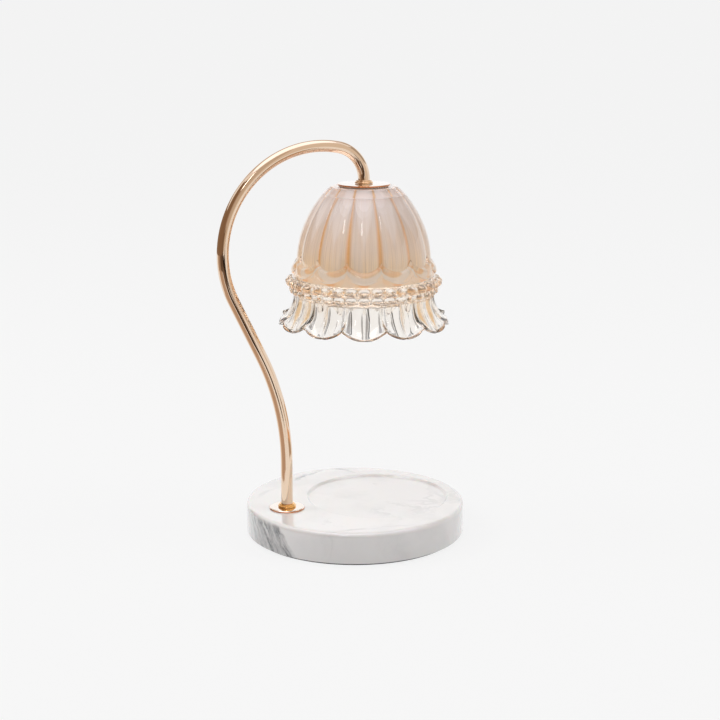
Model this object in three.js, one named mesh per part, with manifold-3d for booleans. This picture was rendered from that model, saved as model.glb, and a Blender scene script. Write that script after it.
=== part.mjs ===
// A candle warmer lamp: a marble base with a round seat, a bent tube arm, and a pressed-glass shade
// with a reflector bulb that shines down on the seat.
// Millimetres, +Z up. The origin is the centre of the underside. +X points from the foot of the pole
// towards the seat, and the arm lies in the plane y = 0.
import * as THREE from "three";
import { mergeVertices } from "three/addons/utils/BufferGeometryUtils.js";
import Module from "manifold-3d";

const wasm = await Module();
wasm.setup();

// Fits
const seatGap = 0.05; // between faces that are clamped together
const swivelGap = 0.1; // between faces that turn on each other
const shaftClearance = 0.1; // radial, round a shaft in its hole
const partGap = 0.3; // round a loosely held piece
const cutOverrun = 1; // how far a cutting shape passes the face it cuts

// Base
const baseDiameter = 150;
const marbleThickness = 21;
const marbleTopRound = 3;
const marbleBottomRound = 1;
const padThickness = 1.5;
const padInset = 3;
const seatDiameter = 98;
const seatDepth = 1.5;
const seatSlopeWidth = 1.8;
const seatOffset = 17; // from the base's centre to the seat's centre
const footInset = 24.1; // from the base's edge to the pole's axis
const pocketClearance = 4; // round the foot hardware, for a spanner

// Lead and its inlet
const leadDiameter = 3.2;
const leadClearance = 0.25;
const leadFootBend = 4;
const leadCornerBend = 6;
const leadEndInset = 4; // how far inside the grommet's mouth the lead stops
const grommetWall = 1.2;
const grommetLength = 12;
const grommetInset = 0.6; // how far the grommet's face lies inside the marble's edge
const coreDiameter = 1.4;
const coreSpacing = 1.8; // between the two cores where they leave the sheath

// Arm: a bent tube, given as a bending table from the foot to the head
const tubeDiameter = 8;
const tubeWall = 1;
const lowerStraight = 31.6; // from the marble's top to the first bend
const leanRadius = 174;
const leanAngle = 26; // degrees, away from the seat
const leanStraight = 42.4;
const crookRadius = 68.4;
const crookAngle = 128; // degrees, over the top
const dropRadius = 22.6; // the last bend turns the tube straight down
const upperStraight = 2.4; // from the last bend to the canopy disc
const threadProud = 0.4; // tube standing out of its nut
const bendStep = 10; // degrees, at most, between two sections of a bend

// Arm hardware
const flangeThickness = 1.2;
const flangeWidth = 7.9; // from its hole to its edge
const collarHeight = 2.2;
const collarWidth = 2;
const collarRound = 0.6;
const nutHeight = 3.2;
const nutWidth = 2.4; // from the thread to the middle of a flat
const lockWasherThickness = 1.2;
const lockWasherWidth = 2;
const lockWasherSplit = 1;
const washerThickness = 1.2;
const washerWidth = 6;
const bushFlange = 0.8;
const bushLength = 6;

// Shade fixing
const canopyDiameter = 35.6;
const canopyThickness = 1;
const gasketThickness = 0.6;
const gasketInset = 1.4;
const clampDiameter = 30;
const clampThickness = 1.2;

// Glass shade, all heights measured down from the top of the glass
const petalCount = 12;
const petalTurn = 5.2; // degrees, of the first petal's middle from +X
const beadsPerPetal = 3;
const flutesPerPetal = 2;
const shadeHeight = 94.2;
const crownRadius = 20.8;
const shoulderRadius = 23.2;
const shoulderDrop = 1;
const domeRadius = 44.8;
const domeDrop = 48.5;
const petalTipRadius = 48.6;
const petalTipDrop = 54;
const petalEdgeDrop = 56.4;
const petalRise = 6; // how much higher a petal's edge is between two petals
const bandRadius = 48.4;
const bandDrop = 59;
const beadRadius = 52.9;
const beadDrop = 62.6;
const beadHeight = 5.6;
const beadDepth = 1.5;
const neckRadius = 47.6;
const neckDrop = 70.5;
const skirtRadius = 57.8;
const notchDepth = 6;
const fluteDepth = 1.3;
const petalDepth = 2.8;
const glassThickness = 4;
const crownThickness = 4.4;
const hemThickness = 2.6;
const shadeSidesPerPetal = 6;

// Lamp holder and its bracket
const sheetThickness = 1.2;
const bracketSpan = 26; // outside, across the two legs
const bracketWidth = 12;
const bracketFoot = 6.2; // length of each inward foot
const wireRoom = 7; // from the tube's end to the holder's top
const holderDiameter = 31;
const holderFace = 3;
const holderRoof = 4.5;
const screwSpacing = 20;
const screwDiameter = 3;
const screwHeadDiameter = 5.4;
const screwHeadHeight = 2;
const screwProud = 0.8;
const contactThickness = 0.8;

// Bulb
const pinSpacing = 10;
const pinNeckDiameter = 2.8;
const pinHeadDiameter = 4.8;
const pinHeadHeight = 2;
const pinSink = 2.5; // how deep a pin sits in the bulb's base
const twistAngle = 20; // degrees, from locked to free
const bulbBaseDiameter = 20.4;
const bulbBaseHeight = 12;
const bulbSocketDepth = 6;
const bulbLength = 46;
const bulbDiameter = 50;
const bulbNeckDiameter = 14;
const reflectorWall = 1.3;
const frontGlassThickness = 2;
const capsuleDiameter = 9.4;
const capsuleLength = 20;

// Numbers of sides
const baseSides = 72;
const ringSides = 20;
const holeSides = 24;
const tubeSides = 16;
const wireSides = 8;
const roundSteps = 4;

// Small tools

const radians = THREE.MathUtils.degToRad;

// The radius of a many-sided hole that clears a round of the given radius.
function holeRadius(radius, sides) {
  return radius / Math.cos(Math.PI / sides);
}

// A ring or a solid of revolution about +Z. The outline is a list of [radius, height].
function turned(outline, sides) {
  const points = outline.map(([radius, height]) => new THREE.Vector2(radius, height));
  const onAxis = outline[0][0] === 0 && outline.at(-1)[0] === 0;
  if (!onAxis) points.push(points[0].clone());
  return new THREE.LatheGeometry(points, sides).rotateX(Math.PI / 2);
}

// A round plate or ring between two heights, with an optional hole.
function disc(radius, low, high, sides, hole = 0) {
  if (hole === 0) return turned([[0, low], [radius, low], [radius, high], [0, high]], sides);
  return turned([[hole, low], [radius, low], [radius, high], [hole, high]], sides);
}

// The points of a quarter round from one direction to another, in degrees, about a centre.
function arcPoints(centreRadius, centreHeight, round, from, to, steps) {
  return Array.from({ length: steps + 1 }, (_, i) => {
    const angle = radians(from + ((to - from) * i) / steps);
    return [centreRadius + round * Math.cos(angle), centreHeight + round * Math.sin(angle)];
  });
}

function box(lowX, highX, lowY, highY, lowZ, highZ) {
  return new THREE.BoxGeometry(highX - lowX, highY - lowY, highZ - lowZ).translate(
    (lowX + highX) / 2,
    (lowY + highY) / 2,
    (lowZ + highZ) / 2,
  );
}

// A flat shape pulled straight up between two heights.
function raised(shape, low, high, curveSegments = holeSides / 2) {
  const options = { depth: high - low, bevelEnabled: false, curveSegments };
  return new THREE.ExtrudeGeometry(shape, options).translate(0, 0, low);
}

// A curved slot's outline: a bar of the given half width, bent round the axis between two angles.
function arcBar(radius, halfWidth, fromDegrees, toDegrees) {
  const from = radians(fromDegrees);
  const to = radians(toDegrees);
  const shape = new THREE.Shape();
  shape.absarc(0, 0, radius + halfWidth, from, to, false);
  shape.absarc(radius * Math.cos(to), radius * Math.sin(to), halfWidth, to, to + Math.PI, false);
  shape.absarc(0, 0, radius - halfWidth, to, from, true);
  shape.absarc(radius * Math.cos(from), radius * Math.sin(from), halfWidth, from + Math.PI, from, false);
  return shape;
}

function toSolid(geometry) {
  const bare = geometry.clone();
  bare.deleteAttribute("normal");
  bare.deleteAttribute("uv");
  const merged = mergeVertices(bare);
  const vertProperties = new Float32Array(merged.attributes.position.array);
  const triVerts = new Uint32Array(merged.index.array);
  return new wasm.Manifold(new wasm.Mesh({ numProp: 3, vertProperties, triVerts }));
}

function fromSolid(solid) {
  const { vertProperties, triVerts } = solid.getMesh();
  const geometry = new THREE.BufferGeometry();
  geometry.setAttribute("position", new THREE.BufferAttribute(vertProperties, 3));
  geometry.setIndex(new THREE.BufferAttribute(triVerts, 1));
  return geometry;
}

function cut(geometry, ...tools) {
  return fromSolid(tools.reduce((left, tool) => left.subtract(toSolid(tool)), toSolid(geometry)));
}

// A line through given stations, so that a swept section is set exactly at each of them.
class StationLine extends THREE.Curve {
  constructor(stations) {
    super();
    this.stations = stations;
  }

  getPoint(t, target = new THREE.Vector3()) {
    const place = THREE.MathUtils.clamp(t, 0, 1) * (this.stations.length - 1);
    const index = Math.min(Math.floor(place), this.stations.length - 2);
    return target.lerpVectors(this.stations[index], this.stations[index + 1], place - index);
  }

  getUtoTmapping(u) {
    return u;
  }
}

// The stations of a bent line: straights and bends from a start, in the plane of two directions.
// A move is { straight } or { radius, angle }, and a positive angle turns from side towards ahead.
function bentStations(start, ahead, side, moves) {
  const stations = [start.clone()];
  let heading = 0;
  const at = start.clone();
  const direction = (angle) =>
    ahead.clone().multiplyScalar(Math.cos(angle)).addScaledVector(side, Math.sin(angle));
  for (const move of moves) {
    if (move.straight !== undefined) {
      at.addScaledVector(direction(heading), move.straight);
      stations.push(at.clone());
      continue;
    }
    const steps = Math.ceil(Math.abs(move.angle) / bendStep);
    const sign = Math.sign(move.angle);
    const centre = at.clone().addScaledVector(direction(heading + (sign * Math.PI) / 2), move.radius);
    for (let i = 1; i <= steps; i += 1) {
      const turn = heading + radians((move.angle * i) / steps);
      at.copy(centre).addScaledVector(direction(turn + (sign * Math.PI) / 2), -move.radius);
      stations.push(at.clone());
    }
    heading += radians(move.angle);
  }
  return stations;
}

// A round bar or, with a bore, a tube swept through stations.
function swept(stations, radius, sides, bore = 0) {
  const section = new THREE.Shape().absarc(0, 0, radius, 0, 2 * Math.PI, false);
  if (bore > 0) section.holes.push(new THREE.Path().absarc(0, 0, bore, 0, 2 * Math.PI, true));
  return new THREE.ExtrudeGeometry(section, {
    steps: stations.length - 1,
    curveSegments: sides / 2,
    extrudePath: new StationLine(stations),
  });
}

// Finishes

function finish(color, roughness, metalness, opacity = 1) {
  const settings = { color, roughness, metalness, flatShading: true };
  if (opacity < 1) Object.assign(settings, { opacity, transparent: true });
  return new THREE.MeshStandardMaterial(settings);
}

const marble = () => finish(0xf0eeec, 0.2, 0);
const gold = () => finish(0xe3b184, 0.15, 1);
const champagne = () => finish(0xd9b694, 0.18, 1);
const steel = () => finish(0xb8bbbf, 0.35, 1);
const blackRubber = () => finish(0x2b2b2d, 0.8, 0);
const clearSilicone = () => finish(0xe8e6e2, 0.5, 0);
const whiteNylon = () => finish(0xeceae4, 0.5, 0);
const leadSheath = () => finish(0xf2efe8, 0.6, 0);
const pearlGlass = () => finish(0xe6cfbd, 0.1, 0, 0.7);
const clearGlass = () => finish(0xf2f4f5, 0.05, 0, 0.35);
const ceramic = () => finish(0xf3efe6, 0.5, 0);
const contactBrass = () => finish(0xc9a55a, 0.35, 1);
const mirrorCoat = () => finish(0xd8dadc, 0.1, 1);

const lamp = new THREE.Group();

function add(parent, name, geometry, material) {
  const mesh = new THREE.Mesh(geometry, material);
  mesh.name = name;
  parent.add(mesh);
}

// Heights of the base and the foot, from the ground up

const baseRadius = baseDiameter / 2;
const tubeRadius = tubeDiameter / 2;
const boreRadius = tubeRadius - tubeWall;
const leadRadius = leadDiameter / 2;
const footX = footInset - baseRadius;
const marbleBottom = padThickness + seatGap;
const marbleTop = marbleBottom + marbleThickness;
const grommetHole = leadRadius + leadClearance;
const grommetHalf = grommetHole + grommetWall;
const leadHeight = marbleBottom + partGap + grommetHalf;
const grooveHalf = grommetHalf + partGap;
const grooveTop = leadHeight + grooveHalf;
const leadFootTop = leadHeight + leadFootBend;
const footBushBottom = leadFootTop + partGap;
const tubeBottom = footBushBottom + bushFlange;
const footNutBottom = tubeBottom + threadProud;
const footLockBottom = footNutBottom + nutHeight + seatGap;
const footWasherBottom = footLockBottom + lockWasherThickness + swivelGap;
const pocketRoof = footWasherBottom + washerThickness + seatGap;
const flangeBottom = marbleTop + seatGap;
const flangeTop = flangeBottom + flangeThickness;
const footCollarBottom = flangeTop + swivelGap;
const tubeHole = holeRadius(tubeRadius + shaftClearance, holeSides);
const washerRadius = tubeRadius + shaftClearance + washerWidth;

// Levels of the head, measured from the canopy disc's top face down

const canopyUnder = -canopyThickness;
const upperGasketUnder = canopyUnder - seatGap - gasketThickness;
const glassTop = upperGasketUnder - seatGap;
const crownUnder = glassTop - crownThickness;
const lowerGasketUnder = crownUnder - seatGap - gasketThickness;
const clampTop = lowerGasketUnder - seatGap;
const clampUnder = clampTop - clampThickness;
const bracketTop = clampUnder - seatGap;
const bracketUnder = bracketTop - sheetThickness;
const headLockTop = bracketUnder - swivelGap;
const headNutTop = headLockTop - lockWasherThickness - seatGap;
const tubeEnd = headNutTop - nutHeight - threadProud;
const headBushEnd = tubeEnd - bushFlange;
const holderTop = headBushEnd - wireRoom;

// The arm's centre line, from the foot to the head

const dropAngle = 180 + leanAngle - crookAngle;
const armBends = [
  { straight: marbleTop + lowerStraight - tubeBottom },
  { radius: leanRadius, angle: leanAngle },
  { straight: leanStraight },
  { radius: crookRadius, angle: -crookAngle },
  { radius: dropRadius, angle: -dropAngle },
];
const up = new THREE.Vector3(0, 0, 1);
const down = new THREE.Vector3(0, 0, -1);
const away = new THREE.Vector3(-1, 0, 0);
const tubeStart = new THREE.Vector3(footX, 0, tubeBottom);
const lastBendEnd = bentStations(tubeStart, up, away, armBends).at(-1);
const headPlace = new THREE.Vector3(lastBendEnd.x, 0, lastBendEnd.z - upperStraight);
const armStations = bentStations(tubeStart, up, away, [...armBends, { straight: upperStraight - tubeEnd }]);

// Base

function marbleSlab() {
  const slab = turned(
    [
      [0, marbleBottom],
      ...arcPoints(
        baseRadius - marbleBottomRound, marbleBottom + marbleBottomRound, marbleBottomRound, -90, 0, 2,
      ),
      ...arcPoints(
        baseRadius - marbleTopRound, marbleTop - marbleTopRound, marbleTopRound, 0, 90, roundSteps,
      ),
      [0, marbleTop],
    ],
    baseSides,
  );
  const seatRadius = seatDiameter / 2;
  const overrunShare = cutOverrun / seatDepth;
  const roundSeat = turned(
    [
      [0, marbleTop - seatDepth],
      [seatRadius - seatSlopeWidth, marbleTop - seatDepth],
      [seatRadius + seatSlopeWidth * overrunShare, marbleTop + cutOverrun],
      [0, marbleTop + cutOverrun],
    ],
    baseSides,
  ).translate(seatOffset, 0, 0);
  const below = marbleBottom - cutOverrun;
  const poleHole = disc(tubeHole, below, marbleTop + cutOverrun, holeSides).translate(footX, 0, 0);
  const pocket = disc(washerRadius + pocketClearance, below, pocketRoof, holeSides).translate(footX, 0, 0);
  const grooveAlong = box(footX, grooveHalf, -grooveHalf, grooveHalf, below, grooveTop);
  const grooveBack = box(-grooveHalf, grooveHalf, -grooveHalf, baseRadius + cutOverrun, below, grooveTop);
  return cut(slab, roundSeat, poleHole, pocket, grooveAlong, grooveBack);
}

function grommet() {
  const corner = grommetWall;
  const inner = grommetHalf - corner;
  const outline = new THREE.Shape();
  outline.absarc(inner, inner, corner, 0, Math.PI / 2, false);
  outline.absarc(-inner, inner, corner, Math.PI / 2, Math.PI, false);
  outline.absarc(-inner, -inner, corner, Math.PI, 1.5 * Math.PI, false);
  outline.absarc(inner, -inner, corner, 1.5 * Math.PI, 2 * Math.PI, false);
  const hole = holeRadius(grommetHole, ringSides);
  outline.holes.push(new THREE.Path().absarc(0, 0, hole, 0, 2 * Math.PI, true));
  // The flat shape is raised along +Z, then turned to run along -Y from the marble's edge.
  return raised(outline, 0, grommetLength, ringSides / 2)
    .rotateX(Math.PI / 2)
    .translate(0, baseRadius - grommetInset - sagOfGroove(), leadHeight);
}

// How far the round edge of the base falls back across the groove's half width.
function sagOfGroove() {
  return baseRadius - Math.sqrt(baseRadius ** 2 - grooveHalf ** 2);
}

function baseLead() {
  const start = new THREE.Vector3(footX, 0, leadFootTop);
  const ahead = new THREE.Vector3(1, 0, 0);
  const back = new THREE.Vector3(0, 1, 0);
  const fall = bentStations(start, down, ahead, [{ radius: leadFootBend, angle: 90 }]);
  const run = -leadCornerBend - fall.at(-1).x;
  const lastRun = baseRadius - grommetInset - sagOfGroove() - leadEndInset - leadCornerBend;
  const route = [{ straight: run }, { radius: leadCornerBend, angle: 90 }, { straight: lastRun }];
  const level = bentStations(fall.at(-1), ahead, back, route);
  return swept([...fall, ...level.slice(1)], leadRadius, wireSides);
}

function addBase(parent) {
  const padRadius = baseRadius - padInset;
  add(parent, "foot_pad", disc(padRadius, 0, padThickness, baseSides), blackRubber());
  add(parent, "marble_base", marbleSlab(), marble());
  add(parent, "cord_grommet", grommet(), blackRubber());
  add(parent, "lead_base", baseLead(), leadSheath());
  const washer = disc(
    washerRadius, footWasherBottom, footWasherBottom + washerThickness, ringSides, tubeHole,
  ).translate(footX, 0, 0);
  add(parent, "pole_washer", washer, steel());
  const edge = flangeThickness / 2;
  const flange = turned(
    [
      [tubeHole, flangeBottom],
      ...arcPoints(tubeHole + flangeWidth - edge, flangeBottom + edge, edge, -90, 90, roundSteps),
      [tubeHole, flangeTop],
    ],
    holeSides,
  ).translate(footX, 0, 0);
  add(parent, "pole_flange", flange, gold());
}

// Arm

// A round collar nut with softened edges, standing on the given height.
function collar(bottom) {
  const outer = tubeHole + collarWidth - collarRound;
  return turned(
    [
      [tubeHole, bottom],
      ...arcPoints(outer, bottom + collarRound, collarRound, -90, 0, 2),
      ...arcPoints(outer, bottom + collarHeight - collarRound, collarRound, 0, 90, 2),
      [tubeHole, bottom + collarHeight],
    ],
    holeSides,
  );
}

function hexNut(bottom) {
  const corner = (tubeRadius + nutWidth) / Math.cos(Math.PI / 6);
  const points = Array.from({ length: 6 }, (_, i) => {
    const angle = (i * Math.PI) / 3;
    return new THREE.Vector2(corner * Math.cos(angle), corner * Math.sin(angle));
  });
  const shape = new THREE.Shape(points);
  shape.holes.push(new THREE.Path().absarc(0, 0, tubeHole, 0, 2 * Math.PI, true));
  return raised(shape, bottom, bottom + nutHeight);
}

function lockWasher(bottom) {
  const outer = tubeHole + lockWasherWidth;
  const half = Math.asin(lockWasherSplit / 2 / tubeHole);
  const shape = new THREE.Shape();
  shape.absarc(0, 0, outer, half, 2 * Math.PI - half, false);
  shape.absarc(0, 0, tubeHole, 2 * Math.PI - half, half, true);
  return raised(shape, bottom, bottom + lockWasherThickness);
}

// An insulating bush: a flange against the tube's end and a sleeve inside it.
// It is drawn for the lower end, with the sleeve going up from height 0.
function bush() {
  const hole = holeRadius(leadRadius + leadClearance, ringSides);
  const sleeve = (boreRadius - shaftClearance) * Math.cos(Math.PI / tubeSides);
  return turned(
    [
      [hole, -bushFlange],
      [tubeRadius, -bushFlange],
      [tubeRadius, -seatGap],
      [sleeve, -seatGap],
      [sleeve, bushLength],
      [hole, bushLength],
    ],
    ringSides,
  );
}

function addArm(parent) {
  add(parent, "arm_tube", swept(armStations, tubeRadius, tubeSides, boreRadius), champagne());
  add(parent, "foot_collar", collar(footCollarBottom).translate(footX, 0, 0), gold());
  add(parent, "foot_lock_washer", lockWasher(footLockBottom).translate(footX, 0, 0), steel());
  add(parent, "foot_nut", hexNut(footNutBottom).translate(footX, 0, 0), steel());
  add(parent, "tube_bush_bottom", bush().translate(footX, 0, tubeBottom), whiteNylon());

  const leadStart = armStations[0].clone().addScaledVector(up, -bushFlange);
  const leadStop = armStations.at(-1).clone().addScaledVector(up, -bushFlange);
  const leadStations = [leadStart, ...armStations.slice(1, -1), leadStop];
  add(parent, "lead_arm", swept(leadStations, leadRadius, wireSides), leadSheath());

  const top = new THREE.Group();
  top.position.copy(headPlace);
  parent.add(top);
  add(top, "head_collar", collar(swivelGap), gold());
  add(top, "head_lock_washer", lockWasher(headLockTop - lockWasherThickness), steel());
  add(top, "head_nut", hexNut(headNutTop - nutHeight), steel());
  add(top, "tube_bush_top", bush().translate(0, 0, tubeEnd), whiteNylon());
}

// Glass shade

// Shapes across one petal, where turn runs from -1 to 1 between its two valleys. Each is 1 at a crest
// and 0 in a groove.
const roundness = 0.7;
const petalShape = (turn) => Math.cos((turn * Math.PI) / 2) ** roundness;
const beadShape = (turn) => Math.abs(Math.cos((turn * beadsPerPetal * Math.PI) / 2));
const fluteShape = (turn) => Math.abs(Math.sin((turn * flutesPerPetal * Math.PI) / 2)) ** roundness;

// The dome's outer radius at a share of the way down from its shoulder.
const domeCurvePower = 2;
const domeCurveShare = 0.886;
function domeRadiusAt(share) {
  return (
    shoulderRadius +
    (domeRadius - shoulderRadius) * (1 - (1 - share) ** domeCurvePower) ** domeCurveShare
  );
}

// One ring of the glass: its radius and drop at a petal's middle, and how the pattern changes them.
function ring(radius, drop, { petal = 0, rise = 0, bead = 0, flute = 0 } = {}) {
  return { radius, drop, petal, rise, bead, flute };
}

function outerRings() {
  const domeShares = [0.08, 0.2, 0.34, 0.5, 0.66, 0.82, 1];
  const dome = domeShares.map((share) => {
    const radius = domeRadiusAt(share);
    const drop = shoulderDrop + (domeDrop - shoulderDrop) * share;
    return ring(radius, drop, { petal: (petalDepth * radius) / domeRadius, rise: petalRise * share ** 4 });
  });
  const shoulderPetal = (petalDepth * shoulderRadius) / domeRadius;
  const petalSlack = petalTipRadius - bandRadius + petalDepth;
  const skirtDrop = shadeHeight - neckDrop;
  const skirtShares = [0.25, 0.5, 0.75];
  return [
    ring(crownRadius, 0, { petal: shoulderPetal / 2 }),
    ring(shoulderRadius, shoulderDrop, { petal: shoulderPetal }),
    ...dome,
    ring(petalTipRadius, petalTipDrop, { petal: petalSlack, rise: petalRise }),
    ring(petalTipRadius - petalDepth / 2, petalEdgeDrop, { petal: petalDepth / 2, rise: petalRise }),
    ring(bandRadius, bandDrop),
    ring(beadRadius, beadDrop - beadHeight / 4, { bead: beadDepth }),
    ring(beadRadius, beadDrop + beadHeight / 4, { bead: beadDepth }),
    ring(bandRadius, beadDrop + beadHeight / 2),
    ring(neckRadius, neckDrop, { flute: fluteDepth / 2 }),
    ...skirtShares.map((share) =>
      ring(neckRadius + (skirtRadius - neckRadius) * share ** 2, neckDrop + skirtDrop * share, {
        flute: fluteDepth,
        rise: notchDepth * share ** 3,
      }),
    ),
    ring(skirtRadius, shadeHeight, { flute: fluteDepth, rise: notchDepth }),
  ];
}

function innerRings() {
  const skirtDrop = shadeHeight - neckDrop;
  const innerNeck = neckRadius - glassThickness;
  const innerHem = skirtRadius - fluteDepth - hemThickness;
  const skirtShares = [1, 0.6, 0.25];
  const domeShares = [1, 0.75, 0.5, 0.28, 0.12];
  const crownInside = glassTop - crownUnder;
  return [
    ...skirtShares.map((share) =>
      ring(innerNeck + (innerHem - innerNeck) * share ** 2, neckDrop + skirtDrop * share, {
        rise: notchDepth * share ** 3,
      }),
    ),
    ring(innerNeck, neckDrop),
    ...domeShares.map((share) => {
      const radius = domeRadiusAt(share) - petalDepth - glassThickness / 2;
      return ring(radius, crownInside + (domeDrop - crownInside) * share);
    }),
    ring(clampDiameter / 2 + partGap, crownInside),
    ring(tubeHole + glassThickness / 2, crownInside),
    ring(tubeHole + glassThickness / 2, 0),
  ];
}

// Where a ring's point lies at an angle from +X.
function ringPoint({ radius, drop, petal, rise, bead, flute }, angle) {
  const pitch = (2 * Math.PI) / petalCount;
  const petals = (angle - radians(petalTurn)) / pitch;
  const turn = 2 * (petals - Math.round(petals));
  const grooves =
    petal * (1 - petalShape(turn)) + bead * (1 - beadShape(turn)) + flute * (1 - fluteShape(turn));
  const reach = radius - grooves;
  const height = -drop + rise * (1 - petalShape(turn));
  return [reach * Math.cos(angle), reach * Math.sin(angle), height];
}

function glassShade() {
  const rings = [...outerRings(), ...innerRings()];
  const sides = petalCount * shadeSidesPerPetal;
  const positions = [];
  for (const one of rings) {
    for (let i = 0; i < sides; i += 1) {
      positions.push(...ringPoint(one, radians(petalTurn) + (2 * Math.PI * i) / sides));
    }
  }
  const index = [];
  rings.forEach((_, row) => {
    const here = row * sides;
    const next = ((row + 1) % rings.length) * sides;
    for (let i = 0; i < sides; i += 1) {
      const beside = (i + 1) % sides;
      index.push(here + i, next + i, next + beside, here + i, next + beside, here + beside);
    }
  });
  const geometry = new THREE.BufferGeometry();
  geometry.setAttribute("position", new THREE.Float32BufferAttribute(positions, 3));
  geometry.setIndex(index);
  return geometry.translate(0, 0, glassTop);
}

// Lamp holder, between its top and its face

const pinCircle = pinSpacing / 2;
const pinNeckRadius = pinNeckDiameter / 2;
const pinHeadRadius = pinHeadDiameter / 2;
const contactTop = holderTop - holderRoof - partGap;
const contactUnder = contactTop - contactThickness;
const pinHeadTop = contactUnder - partGap;
const pinHeadUnder = pinHeadTop - pinHeadHeight;
const chamberFloor = pinHeadUnder - partGap;
const holderUnder = chamberFloor - holderFace;
const bulbTop = holderUnder - partGap;
const screwAt = screwSpacing / 2;
const coreRadius = coreDiameter / 2;

// Each piece for the pins is made twice: at the locked angle 90 and, half a turn on, at 270.
const pinAngles = [90, 270];

// Moves a piece from the lamp's axis out to the pin circle, at an angle in degrees.
function toPin(geometry, degrees) {
  const angle = radians(degrees);
  return geometry.translate(pinCircle * Math.cos(angle), pinCircle * Math.sin(angle), 0);
}

function holderBody() {
  const below = holderUnder - cutOverrun;
  const above = holderTop + cutOverrun;
  const chamberRoof = holderTop - holderRoof;
  const headRoom = pinHeadRadius + partGap;
  const neckRoom = pinNeckRadius + partGap;
  const tools = [];
  for (const locked of pinAngles) {
    const free = locked - twistAngle;
    const entry = holeRadius(headRoom, ringSides);
    tools.push(
      raised(arcBar(pinCircle, headRoom, free, locked), chamberFloor, chamberRoof, wireSides),
      raised(arcBar(pinCircle, neckRoom, free, locked), below, chamberRoof, wireSides),
      toPin(disc(entry, below, contactUnder, ringSides), free),
      toPin(disc(coreRadius + partGap, contactTop, above, tubeSides), locked),
    );
  }
  for (const side of [-1, 1]) {
    const hole = holeRadius(screwDiameter / 2 + shaftClearance, tubeSides);
    const sink = holeRadius(screwHeadDiameter / 2 + partGap, tubeSides);
    const sinkTop = holderUnder + screwHeadHeight + partGap;
    tools.push(
      disc(hole, below, above, tubeSides).translate(side * screwAt, 0, 0),
      disc(sink, below, sinkTop, tubeSides).translate(side * screwAt, 0, 0),
    );
  }
  return cut(disc(holderDiameter / 2, holderUnder, holderTop, holeSides), ...tools);
}

// A strip bent into a frame: the top plate under the clamp disc, two legs, and two inward feet
// that the holder is screwed to.
function bracket() {
  const out = bracketSpan / 2;
  const within = out - sheetThickness;
  const footBottom = holderTop + seatGap;
  const footTop = footBottom + sheetThickness;
  const toe = out - bracketFoot;
  const outline = new THREE.Shape([
    new THREE.Vector2(-out, bracketTop),
    new THREE.Vector2(-out, footBottom),
    new THREE.Vector2(-toe, footBottom),
    new THREE.Vector2(-toe, footTop),
    new THREE.Vector2(-within, footTop),
    new THREE.Vector2(-within, bracketUnder),
    new THREE.Vector2(within, bracketUnder),
    new THREE.Vector2(within, footTop),
    new THREE.Vector2(toe, footTop),
    new THREE.Vector2(toe, footBottom),
    new THREE.Vector2(out, footBottom),
    new THREE.Vector2(out, bracketTop),
  ]);
  // The outline is drawn in x and height, and the strip's width runs along Y.
  const strip = raised(outline, -bracketWidth / 2, bracketWidth / 2).rotateX(Math.PI / 2);
  const poleHole = disc(tubeHole, bracketUnder - cutOverrun, bracketTop + cutOverrun, holeSides);
  const screwHole = holeRadius(screwDiameter / 2 + shaftClearance, tubeSides);
  const screwHoles = [-1, 1].map((side) =>
    disc(screwHole, footBottom - cutOverrun, footTop + cutOverrun, tubeSides).translate(side * screwAt, 0, 0),
  );
  return cut(strip, poleHole, ...screwHoles);
}

function holderScrew() {
  const headUnder = holderUnder + partGap / 2;
  const headTop = headUnder + screwHeadHeight;
  const tip = holderTop + seatGap + sheetThickness + screwProud;
  return turned(
    [
      [0, headUnder],
      [screwHeadDiameter / 2, headUnder],
      [screwHeadDiameter / 2, headTop],
      [screwDiameter / 2, headTop],
      [screwDiameter / 2, tip],
      [0, tip],
    ],
    tubeSides,
  );
}

// A core leaves the sheath beside its twin, swings out and drops through the holder's roof.
function leadCore(locked) {
  const along = new THREE.Vector3(Math.cos(radians(locked)), Math.sin(radians(locked)), 0);
  const place = (reach, height) => along.clone().multiplyScalar(reach).setZ(height);
  const top = headBushEnd - partGap;
  const middle = (top + holderTop) / 2;
  const swing = new THREE.CubicBezierCurve3(
    place(coreSpacing / 2, top),
    place(coreSpacing / 2, middle),
    place(pinCircle, middle),
    place(pinCircle, holderTop),
  );
  const swingSteps = 6;
  const stations = [...swing.getPoints(swingSteps), place(pinCircle, contactTop + seatGap)];
  return swept(stations, coreRadius, wireSides);
}

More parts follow.
